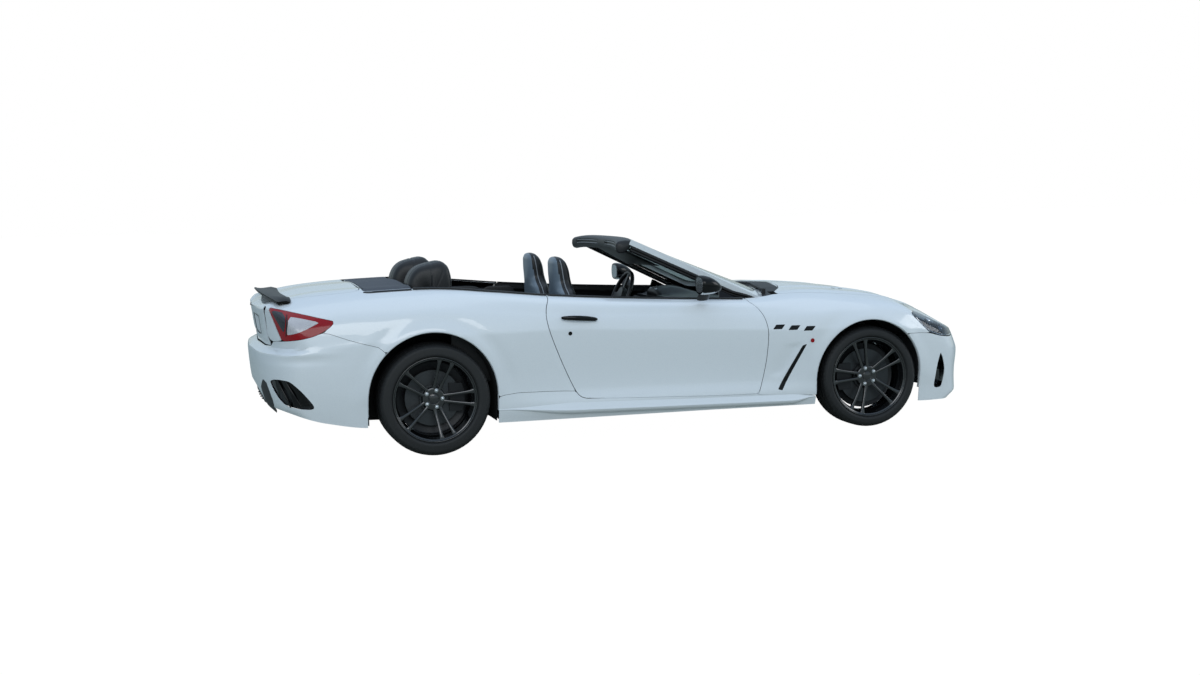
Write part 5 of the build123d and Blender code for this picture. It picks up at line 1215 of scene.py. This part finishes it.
# pressed shields behind the brake discs: radius of the hole and of the turned-out edge
SHIELD_FACE, SHIELD_BACK, SHIELD_EDGE = -0.021, -0.025, (-0.015, -0.019)         # y from the hub
for corner, bodies, hole, edge in (
        ("front", ("knuckle_r", "knuckle_l"), 0.168, 0.218), ("rear", ("body", "body"), 0.070, 0.230)):
    hub_x, hub_y, hub_z, _ = WHEELS[corner]
    shield = lathe([(hole, SHIELD_FACE), (edge - 0.008, SHIELD_FACE), (edge, SHIELD_EDGE[0]),
                    (edge, SHIELD_EDGE[1]), (edge - 0.008, SHIELD_BACK), (hole, SHIELD_BACK)], 72)
    both(f"brake_shield_{corner}", put(shield, hub_x, hub_y, hub_z, 0, "right"), bodies, "brake_iron",
         CALIPER)

# ---- spoiler ------------------------------------------------------------------------------------
SPOILER_HALF = 0.690
y = np.linspace(-SPOILER_HALF, SPOILER_HALF, 81)
reach = np.abs(y) / SPOILER_HALF
tip_x, tip_z = X_TAIL + 0.060 + 0.085 * reach ** 2, 1.036 - 0.046 * reach ** 2
run = 1 - 0.45 * reach ** 3                             # the blade narrows towards its ends
lead = on_deck(tip_x + 0.155 * run, np.abs(y) * 0.96)[:, 2]
lower = np.maximum(on_deck(tip_x + 0.060 * run, np.abs(y) * 0.92)[:, 2], tip_z - 0.060)
section = (                                             # x and z, from the leading edge over the top
    (tip_x + 0.158 * run, lead + 0.001), (tip_x + 0.110 * run, lead + 0.010),
    (tip_x + 0.055 * run, 0.45 * lead + 0.55 * tip_z + 0.003), (tip_x + 0.012, tip_z - 0.004),
    (tip_x, tip_z), (tip_x - 0.001, tip_z - 0.006), (tip_x + 0.014, tip_z - 0.024),
    (tip_x + 0.040 * run, 0.5 * (tip_z + lower) - 0.012), (tip_x + 0.060 * run, lower - 0.004),
    (tip_x + 0.120 * run, lead - 0.010))
blade = loops_mesh(np.stack([np.stack([x, y, z], -1) for x, z in section], 1))
spoiler = piece("spoiler_blade", *blade, "boot_b", "gloss_black", SATIN, sharp=50)
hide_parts("spoiler")

# ---- tail lamps -----------------------------------------------------------------------------------
RIBS = (3, 3, 0.25)          # stretches the noise into upright ribs
FROST = finish("frosted_ribbed_acrylic", "A9A7AB", "D6D3D6", 7.0, bump_mm=0.9, rough=(0.10, 0.30),
               stretch=RIBS, Coat_Weight=0.8)
tile("tail_lamp_frost", mm((X_REAR - 0.690, 864), (X_REAR - 0.712, 852), (X_REAR - 0.800, 812),
                           (X_REAR - 0.872, 792), (X_REAR - 0.885, 792), (X_REAR - 0.872, 902),
                           (X_REAR - 0.800, 890)),
     "body", "lamp_clear", FROST, out=0.0012, corners=1)
tile("tail_lamp_divider", mm((X_REAR - 0.887, 780), (X_REAR - 0.893, 780), (X_REAR - 0.882, 914),
                             (X_REAR - 0.874, 914)),
     "body", "black_plastic", PLASTIC, out=0.0014, cell=0.003, corners=1)
SMOKE = finish("smoked_ribbed_acrylic", "1C1D22", "3A3C44", 5.0, bump_mm=0.6, rough=(0.10, 0.25),
               stretch=RIBS)
tile("tail_lamp_reverse", mm((X_REAR - 0.897, 812), (X_REAR - 0.906, 808), (X_REAR - 0.950, 900),
                             (X_REAR - 0.966, 938), (X_REAR - 0.886, 922)),
     "body", "lamp_clear", SMOKE, out=0.0010, corners=1)

# blank number plate in its recess, with a holder all round
PLATE_W, PLATE_H, PLATE_FOOT = 0.520, 0.112, 0.757
PLATE_IN, PLATE_SHEET, PLATE_RIM = 0.022, 0.003, 0.006
plate_y, plate_z = np.meshgrid(np.linspace(-PLATE_W / 2, PLATE_W / 2, 27),
                               PLATE_FOOT + np.linspace(0, PLATE_H, 9), indexing="ij")
plate_face = on_tail(plate_y, plate_z, -PLATE_IN).reshape(-1, 3)
points, faces, _ = thick(plate_face, plate_face + (PLATE_SHEET, 0, 0), grid_faces(27, 9))
piece("plate_blank", points, faces, "boot_b", "body_white", PLATE_WHITE, sharp=40)
rim_y = np.array([-1, 1, 1, -1]) * (PLATE_W / 2 + PLATE_RIM)
rim_z = np.array([-1, -1, 1, 1]) * (PLATE_H / 2 + PLATE_RIM) + PLATE_FOOT + PLATE_H / 2
rim = rounded_outline(tight(np.stack([rim_y, rim_z], -1), 0.012), 1)
rim = along(np.vstack([rim, rim[:1]]), 120)[:-1]
holder = sweep(on_tail(rim[:, 0], rim[:, 1], -PLATE_IN), oval(0.006, 0.005), closed=True, up=(1, 0, 0))
piece("plate_holder", *holder, "boot_b", "black_plastic", PLASTIC)
ring = rounded_outline(MOUTH, 3)
surround = sweep(on_nose(ring[:, 0], ring[:, 1]), oval(0.007, 0.008), closed=True, up=(1, 0, 0))
piece("grille_surround", *surround, "body", "gloss_black", GLOSS_PLASTIC)
# backing and vanes of the rear outlets
vent_middle = CORNER_VENT.mean(0)
tile("outlet_backing", vent_middle + (CORNER_VENT - vent_middle) * 1.05, "body", "black_plastic",
     CALIPER, out=-0.010, depth=0.016, cell=0.006)
for number, (top, foot) in enumerate(((-0.948, -0.878), (-0.905, -0.822)), 1):
    t = np.linspace(0, 1, 16)
    line = on_side(X_REAR + top + (foot - top) * t, 0.508 - 0.160 * t, -0.004)
    both(f"outlet_vane_{number}", sweep(line, oval(0.006, 0.007), up=(1, 0, 0)), "body", "gloss_black",
         GLOSS_PLASTIC)

# inside of the headlamps: a dark bowl, two projectors and a bright strip along the lower edge
points, normals, faces = trimmed(keep([(headlamp, 0.006)], [(bonnet, shut)]))
mesh, faces, _ = thick(points - normals * 0.026, points - normals * 0.030, faces)
both("headlamp_bowl", (mesh, faces), "body", "black_plastic", GLOSS_PLASTIC)
strip_x = np.linspace(X_FRONT + 0.350, X_FRONT + 0.690, 40)
strip_z = np.interp(strip_x, HEADLAMP[9:, 0][::-1], HEADLAMP[9:, 1][::-1]) + 0.008
both("headlamp_strip", sweep(on_side(strip_x, strip_z, -0.006), oval(0.004, 0.006)), "body", "steel", CHROME)
ball = lathe(rounded_outline([(0.0004, 0.030), (0.020, 0.026), (0.030, 0.012), (0.032, 0.0), (0.034, -0.004),
                           (0.034, -0.030), (0.0004, -0.030)], 2), 36)
for number, (x, z) in enumerate(((X_FRONT + 0.468, 0.682), (X_FRONT + 0.560, 0.622)), 1):
    points = np.stack([ball[0][:, 1] * 0.8, ball[0][:, 0], ball[0][:, 2]], -1) * 0.72
    projector = flipped((points + on_side(x, z, -0.032), ball[1]))
    both(f"headlamp_projector_{number}", projector, "body", "steel", REFLECTOR)

# small black bonnet vents and the wiper arms
for number, x in enumerate((X_FRONT - 0.040, X_FRONT + 0.014), 1):
    outline = np.array([(x - 0.020, 0.412), (x - 0.016, 0.392), (x + 0.022, 0.406)])
    tile(f"bonnet_vent_{number}", outline, "bonnet_b", "black_plastic", PLASTIC, place=on_deck, corners=1)
for name, across in (("right", -0.62), ("left", 0.12)):
    t = np.linspace(0, 1, 26)
    arm = screen(-0.02 + 0.055 * t, across + 0.52 * t)
    arm -= SCREEN_IN * (0.016 + 0.006 * np.sin(np.pi * t))[:, None]
    piece(f"wiper_arm_{name}", *sweep(arm, oval(0.009, 0.004) * (1 - 0.4 * t)[:, None, None]), "body",
          "black_plastic", PLASTIC)
    blade = screen(0.035, across + 0.52 + np.linspace(-0.42, 0.30, 30)) - SCREEN_IN * 0.010
    piece(f"wiper_blade_{name}", *sweep(blade, oval(0.006, 0.005)), "body", "black_plastic", SEAL)

# ---- seats -----------------------------------------------------------------------------------------
SEAT_Y = 0.374
FLUTE_PITCH = 0.052
BACK_BOLSTER, BACK_FLUTE, HEAD_SWELL = 0.052, 0.007, 0.010
CUSHION_BOLSTER, CUSHION_FLUTE = 0.036, 0.006


def superloop(count, power):
    """Cosine and sine of a rounded square, going round once."""
    b = np.linspace(0, 2 * np.pi, count, endpoint=False)
    c, s = np.cos(b), np.sin(b)
    return np.sign(c) * np.abs(c) ** (2 / power), np.sign(s) * np.abs(s) ** (2 / power)


def seat_back(y_place):
    """A tall slim back with the headrest in one piece: rounded loops stacked up its height, fluted
    across the front between two side bolsters."""
    heights = [0.430, 0.560, 0.760, 0.860, 0.955, 0.990, 1.040, 1.100, 1.150, 1.180, 1.190, 1.193]
    table = np.array([
        (-0.300, -0.430, 0.205), (-0.258, -0.445, 0.232), (-0.312, -0.466, 0.235), (-0.334, -0.476, 0.220),
        (-0.352, -0.486, 0.180), (-0.360, -0.490, 0.138), (-0.372, -0.495, 0.118), (-0.386, -0.498, 0.119),
        (-0.402, -0.498, 0.115), (-0.426, -0.487, 0.096), (-0.442, -0.474, 0.060), (-0.452, -0.464, 0.020)])
    z = np.concatenate([np.linspace(0.430, 1.16, 92), np.linspace(1.164, 1.193, 10)])
    front, rear, wide = smooth(heights, table, z).T
    c, s = superloop(56, 3.0)
    y = wide[:, None] * s
    x = ((front + rear) / 2)[:, None] + ((front - rear) / 2)[:, None] * c
    facing = np.clip(c, 0, 1) ** 0.5
    fluted = step(z, 0.56, 0.60) * (1 - step(z, 0.90, 0.94))
    flute = BACK_FLUTE * np.abs(np.sin(np.pi * (z - 0.56) / FLUTE_PITCH)) ** 0.6 * fluted
    x = x + facing * flute[:, None] * (1 - step(np.abs(y), 0.115, 0.140))
    bolstered = step(z, 0.46, 0.56) * (1 - step(z, 0.80, 0.92))
    side = np.exp(-((np.abs(y) - 0.185) / 0.040) ** 2) * bolstered[:, None]
    x = x + BACK_BOLSTER * facing * side
    head = np.exp(-((z - 1.105) / 0.05) ** 2)[:, None] * np.exp(-(y / 0.08) ** 2)
    x = x + HEAD_SWELL * facing * head
    return np.stack([x, y + y_place, np.broadcast_to(z[:, None], x.shape)], -1)


def seat_cushion(y_place):
    """A cushion from front to back: rounded loops with raised bolsters and cross flutes."""
    x = np.linspace(-0.335, 0.198, 70)
    top = smooth([-0.335, -0.30, -0.15, 0.15, 0.185, 0.198], [0.400, 0.444, 0.452, 0.494, 0.470, 0.430], x)
    wide = smooth([-0.335, -0.28, 0.15, 0.185, 0.198], [0.200, 0.232, 0.234, 0.215, 0.185], x)
    c, s = superloop(56, 3.4)
    low = smooth([-0.335, -0.30, 0.10, 0.198], [0.360, 0.332, 0.332, 0.390], x)
    y = wide[:, None] * s
    z = ((top + low) / 2)[:, None] + ((top - low) / 2)[:, None] * c
    facing = np.clip(c, 0, 1) ** 0.5
    bolstered = step(x, -0.30, -0.2) * (1 - step(x, 0.10, 0.19))
    z = z + CUSHION_BOLSTER * facing * np.exp(-((np.abs(y) - 0.190) / 0.036) ** 2) * bolstered[:, None]
    fluted = step(x, -0.22, -0.18) * (1 - step(x, 0.10, 0.14))
    flute = (1 - np.abs(np.sin(np.pi * (x + 0.2) / FLUTE_PITCH)) ** 0.6)[:, None]
    z = z - CUSHION_FLUTE * facing * flute * (1 - step(np.abs(y), 0.120, 0.145)) * fluted[:, None]
    return np.stack([np.broadcast_to(x[:, None], y.shape), y + y_place, z], -1)


parts, shell_faces = [], []
for y_place in (-SEAT_Y, SEAT_Y):
    back = loops_mesh(seat_back(y_place))
    middles = np.array([back[0][f].mean(0) for f in back[1]])
    centre = smooth([0.43, 0.76, 0.955, 1.193], [-0.395, -0.415, -0.442, -0.475], middles[:, 2])
    shell_faces += (middles[:, 0] < centre).astype(int).tolist()
    cushion = loops_mesh(seat_cushion(y_place))
    shell_faces += [0] * len(cushion[1])
    rails = [box_mesh(-0.30, 0.15, y_place + d - 0.015, y_place + d + 0.015, 0.2063, 0.345)
             for d in (-0.18, 0.18)]
    shell_faces += [2] * 12
    parts += [back, cushion, *rails]
seats = piece("front_seats_padded", *flipped(combined(*parts)), "body", "black_leather",
              [LEATHER, SHELL_GREY, CALIPER], shell_faces, 60)
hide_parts("front_seats")
# pale piping up both sides of each front backrest
for y_place in (-SEAT_Y, SEAT_Y):
    loops = seat_back(y_place)
    for column, hand in ((14, "right"), (42, "left")):
        line = loops[6:96, column] + (0.0, 0.002 if hand == "right" else -0.002, 0)
        cord = sweep(line, oval(0.003, 0.003, 6), up=(1, 0, 0))
        piece(f"seat_piping_{'near' if y_place < 0 else 'far'}_{hand}", *cord, "body", "black_leather",
              PIPING)


def pillow(x, y, z, lean=0.0, power=3.2, count=40, flutes=0):
    """A padded block with every edge rounded, between the two ends given for each of x, y and z;
    lean shifts its top along x, and flutes cut soft grooves across its face."""
    a = np.linspace(-np.pi / 2, np.pi / 2, count)
    up, out = np.sign(np.sin(a)) * np.abs(np.sin(a)) ** (2 / power), np.abs(np.cos(a)) ** (2 / power)
    out[[0, -1]] = 0.02
    c, s = superloop(count + 16, power)
    half = np.array([(x[1] - x[0]) / 2, (y[1] - y[0]) / 2, (z[1] - z[0]) / 2])
    middle = np.array([sum(x) / 2, sum(y) / 2, sum(z) / 2])
    points = np.stack([out[:, None] * c * half[0], out[:, None] * s * half[1],
                       np.broadcast_to(up[:, None] * half[2], (count, count + 16))], -1)
    if flutes:
        groove = 1 - 0.06 * (1 - np.abs(np.sin(np.pi * flutes * (points[..., 1] / half[1] + 1) / 2)) ** 0.5)
        points[..., 0] *= groove
        points[..., 2] *= groove
    points[..., 0] += lean * (points[..., 2] / half[2] + 1) / 2
    return loops_mesh(points + middle)


bench = [pillow((-1.20, -0.70), (-0.600, -0.075), (0.412, 0.515), flutes=6),
         pillow((-1.31, -1.14), (-0.610, -0.075), (0.440, 0.965), lean=-0.06, flutes=6),
         pillow((-1.31, -0.72), (-0.072, 0.0), (0.425, 0.520))]
half_bench = combined(*bench)
rear_bench = piece("rear_seats_padded", *flipped(combined(half_bench, mirrored(half_bench))), "body",
                   "black_leather", LEATHER)
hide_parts("rear_seats")

# rear headrests: domed fairings that fall away backwards, on a padded rear deck
REST_Y = 0.356
outline = along([
    (-1.262, 0.945), (-1.176, 0.985), (-1.172, 1.045), (-1.179, 1.110), (-1.198, 1.162), (-1.233, 1.190),
    (-1.285, 1.187), (-1.335, 1.176), (-1.388, 1.158), (-1.424, 1.128), (-1.449, 1.085),
    (-1.461, 1.040), (-1.450, 0.950)], 72)
v = np.sin(np.linspace(-np.pi / 2, np.pi / 2, 61))
shrink = np.clip(1 - np.abs(v) ** 6, 0, 1) ** (1 / 6)
base = np.array([-1.315, 0.950])
away = (outline - base)[None]
length = np.linalg.norm(outline - base, axis=1)[None, :, None]
swollen = base + away * np.maximum(shrink, 0.02)[:, None, None]
channel = 0.005 * np.exp(-((np.abs(v[:, None]) - 0.42) / 0.03) ** 2)
swollen -= channel[..., None] * away / length
seam = np.exp(-((outline[:, 0] + 1.305) / 0.004) ** 2) + np.exp(-((outline[:, 0] + 1.212) / 0.003) ** 2)
swollen -= 0.004 * seam[None, :, None] * away / length
halves = 0.150 - 0.020 * step(-outline[:, 0], 1.26, 1.46) - 0.004 * seam
hump = loops_mesh(np.stack([swollen[..., 0], v[:, None] * halves[None], swollen[..., 1]], -1))
DECK_ROWS, DECK_COLUMNS, DECK_PAD = 20, 61, 0.03
deck_x, deck_v = np.meshgrid(np.linspace(-1.463, -1.205, DECK_ROWS), np.linspace(-1, 1, DECK_COLUMNS),
                             indexing="ij")
deck_z = 0.998 - 0.010 * deck_v ** 4 - 0.02 * step(deck_x, -1.24, -1.20)
deck_top = np.stack([deck_x, deck_v * 0.695, deck_z], -1).reshape(-1, 3)
deck_points, deck_faces, _ = thick(deck_top, deck_top - (0, 0, DECK_PAD), grid_faces(DECK_ROWS, DECK_COLUMNS))
rests = piece("rear_headrests_padded", *flipped(combined(
    (hump[0] + (0, REST_Y, 0), hump[1]), (hump[0] - (0, REST_Y, 0), hump[1]),
    flipped((deck_points, deck_faces)))), "body", "black_leather", LEATHER, sharp=60)
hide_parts("rear_headrests")

# ---- cabin --------------------------------------------------------------------------------------------
# dashboard pad: one section carried across the car, raised into a hood over the dials
DASH_HALF, HOOD_HEIGHT = 0.715, 0.052
y = np.linspace(-DASH_HALF, DASH_HALF, 91)
hood = HOOD_HEIGHT * np.exp(-((y - SEAT_Y) / 0.165) ** 4)
loop = rounded_outline([
    (0.925, 0.846), (0.760, 0.868), (0.620, 0.872), (0.520, 0.868), (0.462, 0.848), (0.448, 0.815),
    (0.452, 0.770), (0.490, 0.745), (0.600, 0.730), (0.920, 0.800)], 2)
raised = step(loop[:, 1], 0.80, 0.86) * step(-loop[:, 0], -0.80, -0.60)
pad_x = loop[:, 0] - 0.035 * raised * (hood / HOOD_HEIGHT)[:, None]
pad_z = loop[:, 1] + raised * hood[:, None]
points = np.stack([pad_x, np.broadcast_to(y[:, None], pad_x.shape), pad_z], -1)
piece("dash_pad", *flipped(loops_mesh(points)), "body", "black_leather", LEATHER, sharp=60)
bevel(piece("dash_display", *box_mesh(0.440, 0.452, -0.110, 0.110, 0.700, 0.800), "body", "gloss_black",
            GLOSS_PLASTIC), 0.004)
dials = lathe([(0.0005, 0.0), (0.040, 0.0), (0.043, 0.004), (0.043, 0.012), (0.0005, 0.012)], 40)
for place, hand in ((-0.058, "outer"), (0.058, "inner")):
    turned = np.stack([0.446 + dials[0][:, 1], SEAT_Y + place + dials[0][:, 0], 0.868 + dials[0][:, 2]], -1)
    piece(f"dial_{hand}", *flipped((turned, dials[1])), "body", "steel", STEEL)
for k, place in enumerate((-0.62, -0.165, 0.165, 0.62)):
    vent = box_mesh(0.442, 0.456, place - 0.045, place + 0.045, 0.812, 0.842)
    bevel(piece(f"air_vent_{k + 1}", *vent, "body", "black_plastic", CALIPER), 0.004)
bevel(piece("cabin_carpet", *box_mesh(-1.18, 0.98, -0.690, 0.690, 0.2065, 0.212), "body", "pan_grey",
            LINER), 0.002)
# padded trim of the cabin sides: x, distances from the centre plane, z, and how square its edges are
for side, hand in (("right", -1), ("left", 1)):
    for name, body, x, halves, z, power in (
            ("armrest", DOORS[side], (-0.42, 0.36), (0.700, 0.775), (0.585, 0.665), 4),
            ("rear_side_trim", "body", (X_REAR + 0.14, X_DOOR_REAR - 0.065), (0.700, 0.741),
             (0.430, 0.955), 6),
            ("door_post_trim", "body", (X_DOOR_REAR - 0.090, X_DOOR_REAR + 0.170), (0.726, 0.744),
             (0.330, 0.945), 6)):
        pad = pillow(x, sorted(hand * half for half in halves), z, power=power)
        piece(f"{name}_{side}", *flipped(pad), body, "black_leather", LEATHER)

# black rubber along the belt and beside the tonneau cover, and a bright edge on the cover
CABIN_X, CABIN_Y = CABIN[2:8, 0], CABIN[2:8, 1]


def belt_line(x, out):
    """Points along the cabin's edge, standing over it."""
    return on_deck(x, np.interp(x, CABIN_X, CABIN_Y) - 0.001, out)


BELT_SECTION = rounded_outline([(-0.020, -0.012), (-0.020, 0.004), (0.008, 0.005), (0.008, -0.004)], 1)
door_belt = belt_line(np.linspace(X_DOOR_REAR + 0.046, X_DOOR_FRONT - 0.125, 80), 0.004)
both("door_belt_seal", sweep(door_belt, BELT_SECTION), DOOR_PAIR, "black_plastic", SEAL)
tonneau_x = np.linspace(X_REAR - 0.392, X_REAR - 0.094, 40)
tonneau_y = np.interp(tonneau_x, [X_REAR - 0.425, X_REAR - 0.405, X_REAR - 0.360, X_REAR - 0.094],
                      [0.650, 0.682, 0.702, 0.711])
surround_section = rounded_outline([(-0.007, -0.006), (-0.007, 0.003), (0.007, 0.003), (0.007, -0.006)], 1)
both("tonneau_surround", sweep(on_deck(tonneau_x, tonneau_y, 0.002), surround_section), "body",
     "black_plastic", SEAL)
quarter_belt = belt_line(np.linspace(X_REAR - 0.085, X_DOOR_REAR + 0.036, 60), 0.004)
both("quarter_belt_seal", sweep(quarter_belt, BELT_SECTION), "body", "black_plastic", SEAL)
edge_x = np.linspace(X_REAR - 0.372, X_REAR - 0.10, 30)
edge_y = np.interp(edge_x, [X_REAR - 0.418, X_REAR - 0.36, X_REAR - 0.10], [0.660, 0.690, 0.700]) - 0.006
both("tonneau_edge", sweep(on_deck(edge_x, edge_y, 0.002), oval(0.004, 0.003, 8)), "tonneau_b", "steel",
     STEEL)

# ---- wheel-arch lips -----------------------------------------------------------------------------------
for end, (cx, cz, radius) in zip(("front", "rear"), ARCHES):
    low = 0.265 if end == "rear" else 0.245
    arc = np.linspace(0, np.pi, 90)
    rise = np.linspace(low, cz, 14)[:-1]
    path = np.vstack([np.stack([np.full(len(rise), cx + radius), rise], -1),
                      np.stack([cx + radius * np.cos(arc), cz + radius * np.sin(arc)], -1),
                      np.stack([np.full(len(rise), cx - radius), rise[::-1]], -1)])
    centre = np.stack([np.full(len(path), cx), np.maximum(path[:, 1], cz)], -1)
    inward = np.stack([cx - path[:, 0], np.minimum(cz - path[:, 1], 0)], -1)
    inward /= np.linalg.norm(inward, axis=1, keepdims=True)
    edge = on_side(path[:, 0], path[:, 1])
    columns = [(0.0, -0.001), (0.0025, 0.001), (0.0035, 0.006), (0.0035, 0.024), (-0.001, 0.024),
               (-0.001, 0.006)]                         # distances into the opening and into the car
    loops = np.stack([edge + np.stack([inward[:, 0] * a, np.full(len(path), b), inward[:, 1] * a], -1)
                      for a, b in columns], 1)
    both(f"arch_lip_{end}", loops_mesh(loops), "body", "body_white", PAINT)

# ---- camera, light and floor -----------------------------------------------------------------
EYE = (-3.0211, -10.7736, 1.6561)
YAW, PITCH, ROLL = 15.369, -5.387, -1.303    # degrees: from +Y towards +X, above level, about the view
FOCAL_MM, SENSOR_MM = 48.38, 36.0


def place_with_axes(made, x, y, z, place):
    """Puts an object at a place, with its own axes pointing along x, y and z."""
    turn = np.eye(4)
    turn[:3, 0], turn[:3, 1], turn[:3, 2], turn[:3, 3] = x, y, z, place
    made.matrix_world = Matrix(turn.tolist())


camera_data = bpy.data.cameras.new("camera")
camera_data.lens, camera_data.sensor_width = FOCAL_MM, SENSOR_MM
camera = bpy.data.objects.new("camera", camera_data)
bpy.context.collection.objects.link(camera)
yaw, pitch, roll = (math.radians(a) for a in (YAW, PITCH, ROLL))
forward = np.array([math.sin(yaw) * math.cos(pitch), math.cos(yaw) * math.cos(pitch), math.sin(pitch)])
right = np.array([math.cos(yaw), -math.sin(yaw), 0.0])
up = np.cross(right, forward)
right, up = (math.cos(roll) * right + math.sin(roll) * up, -math.sin(roll) * right + math.cos(roll) * up)
place_with_axes(camera, right, up, -forward, EYE)
bpy.context.scene.camera = camera

floor_mesh = bpy.data.meshes.new("floor")
floor_mesh.from_pydata([(-60, -60, 0), (60, -60, 0), (60, 60, 0), (-60, 60, 0)], [], [(0, 1, 2, 3)])
floor = bpy.data.objects.new("floor", floor_mesh)
bpy.context.collection.objects.link(floor)
floor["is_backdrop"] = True


def seen_white(tree, plain, white_share):
    """Mixes a shader with plain white for camera rays only, and joins it to the output."""
    camera_ray = add(tree, "ShaderNodeLightPath").outputs["Is Camera Ray"]
    share = add(tree, "ShaderNodeMath", {"operation": "MULTIPLY"}, {0: camera_ray, 1: white_share})
    kind = "ShaderNodeEmission" if plain.node.bl_idname != "ShaderNodeBackground" else "ShaderNodeBackground"
    white = add(tree, kind, inputs={"Color": (1, 1, 1, 1), "Strength": 1.0 / white_share}).outputs[0]
    mixed = add(tree, "ShaderNodeMixShader", inputs={0: share.outputs[0], 1: plain, 2: white})
    outputs = ("ShaderNodeOutputMaterial", "ShaderNodeOutputWorld")
    output = next(n for n in tree.nodes if n.bl_idname in outputs)
    tree.links.new(mixed.outputs[0], output.inputs["Surface"])


# mid-grey ground that the paint mirrors, shown white with a faint shadow where it is seen directly
FLOOR = finish("pale_studio_floor", "A3A79E", "AEB2A8", 40.0, rough=(0.7, 0.9))
seen_white(FLOOR.node_tree, FLOOR.node_tree.nodes["Principled BSDF"].outputs[0], 0.93)
floor_mesh.materials.append(FLOOR)

world = bpy.data.worlds.new("studio")
bpy.context.scene.world = world
world.use_nodes = True
tree = world.node_tree
direction = add(tree, "ShaderNodeTexCoord").outputs["Generated"]
up_share = add(tree, "ShaderNodeSeparateXYZ", inputs={0: direction})
sky = add(tree, "ShaderNodeValToRGB", inputs={"Fac": up_share.outputs["Z"]})
for stop, place, colour in zip(list(sky.color_ramp.elements), (0.0, 0.75), ("BCC8C5", "BAD2EC")):
    stop.position, stop.color = place, linear(colour)
middle = sky.color_ramp.elements.new(0.10)
middle.color = linear("C8DAE3")
background = tree.nodes["Background"]
tree.links.new(sky.outputs["Color"], background.inputs["Color"])
background.inputs["Strength"].default_value = 0.88
seen_white(tree, background.outputs[0], 1.0)


LAMP_AIM = (0.0, 0.0, 0.5)   # the middle of the car


def lamp(name, place, size, watts, colour=(1, 1, 1)):
    """A soft rectangular lamp aimed at the middle of the car."""
    data = bpy.data.lights.new(name, "AREA")
    data.shape, data.size, data.size_y = "RECTANGLE", size[0], size[1]
    data.energy, data.color = watts, colour
    made = bpy.data.objects.new(name, data)
    bpy.context.collection.objects.link(made)
    z = np.array(place, float) - np.array(LAMP_AIM, float)
    z /= np.linalg.norm(z)
    x = np.cross([0, 0, 1.0], z) if abs(z[2]) < 0.99 else np.array([1.0, 0, 0])
    x /= np.linalg.norm(x)
    place_with_axes(made, x, np.cross(z, x), z, place)


lamp("overhead", (0, 0, 6.5), (9, 5), 50, colour=(0.94, 0.97, 1))
lamp("near_side", (-3, -9, 4.5), (8, 3), 175)
lamp("front", (8, -3, 3.5), (4, 3), 90)
bpy.context.scene.view_settings.view_transform = "Standard"

low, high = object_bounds()
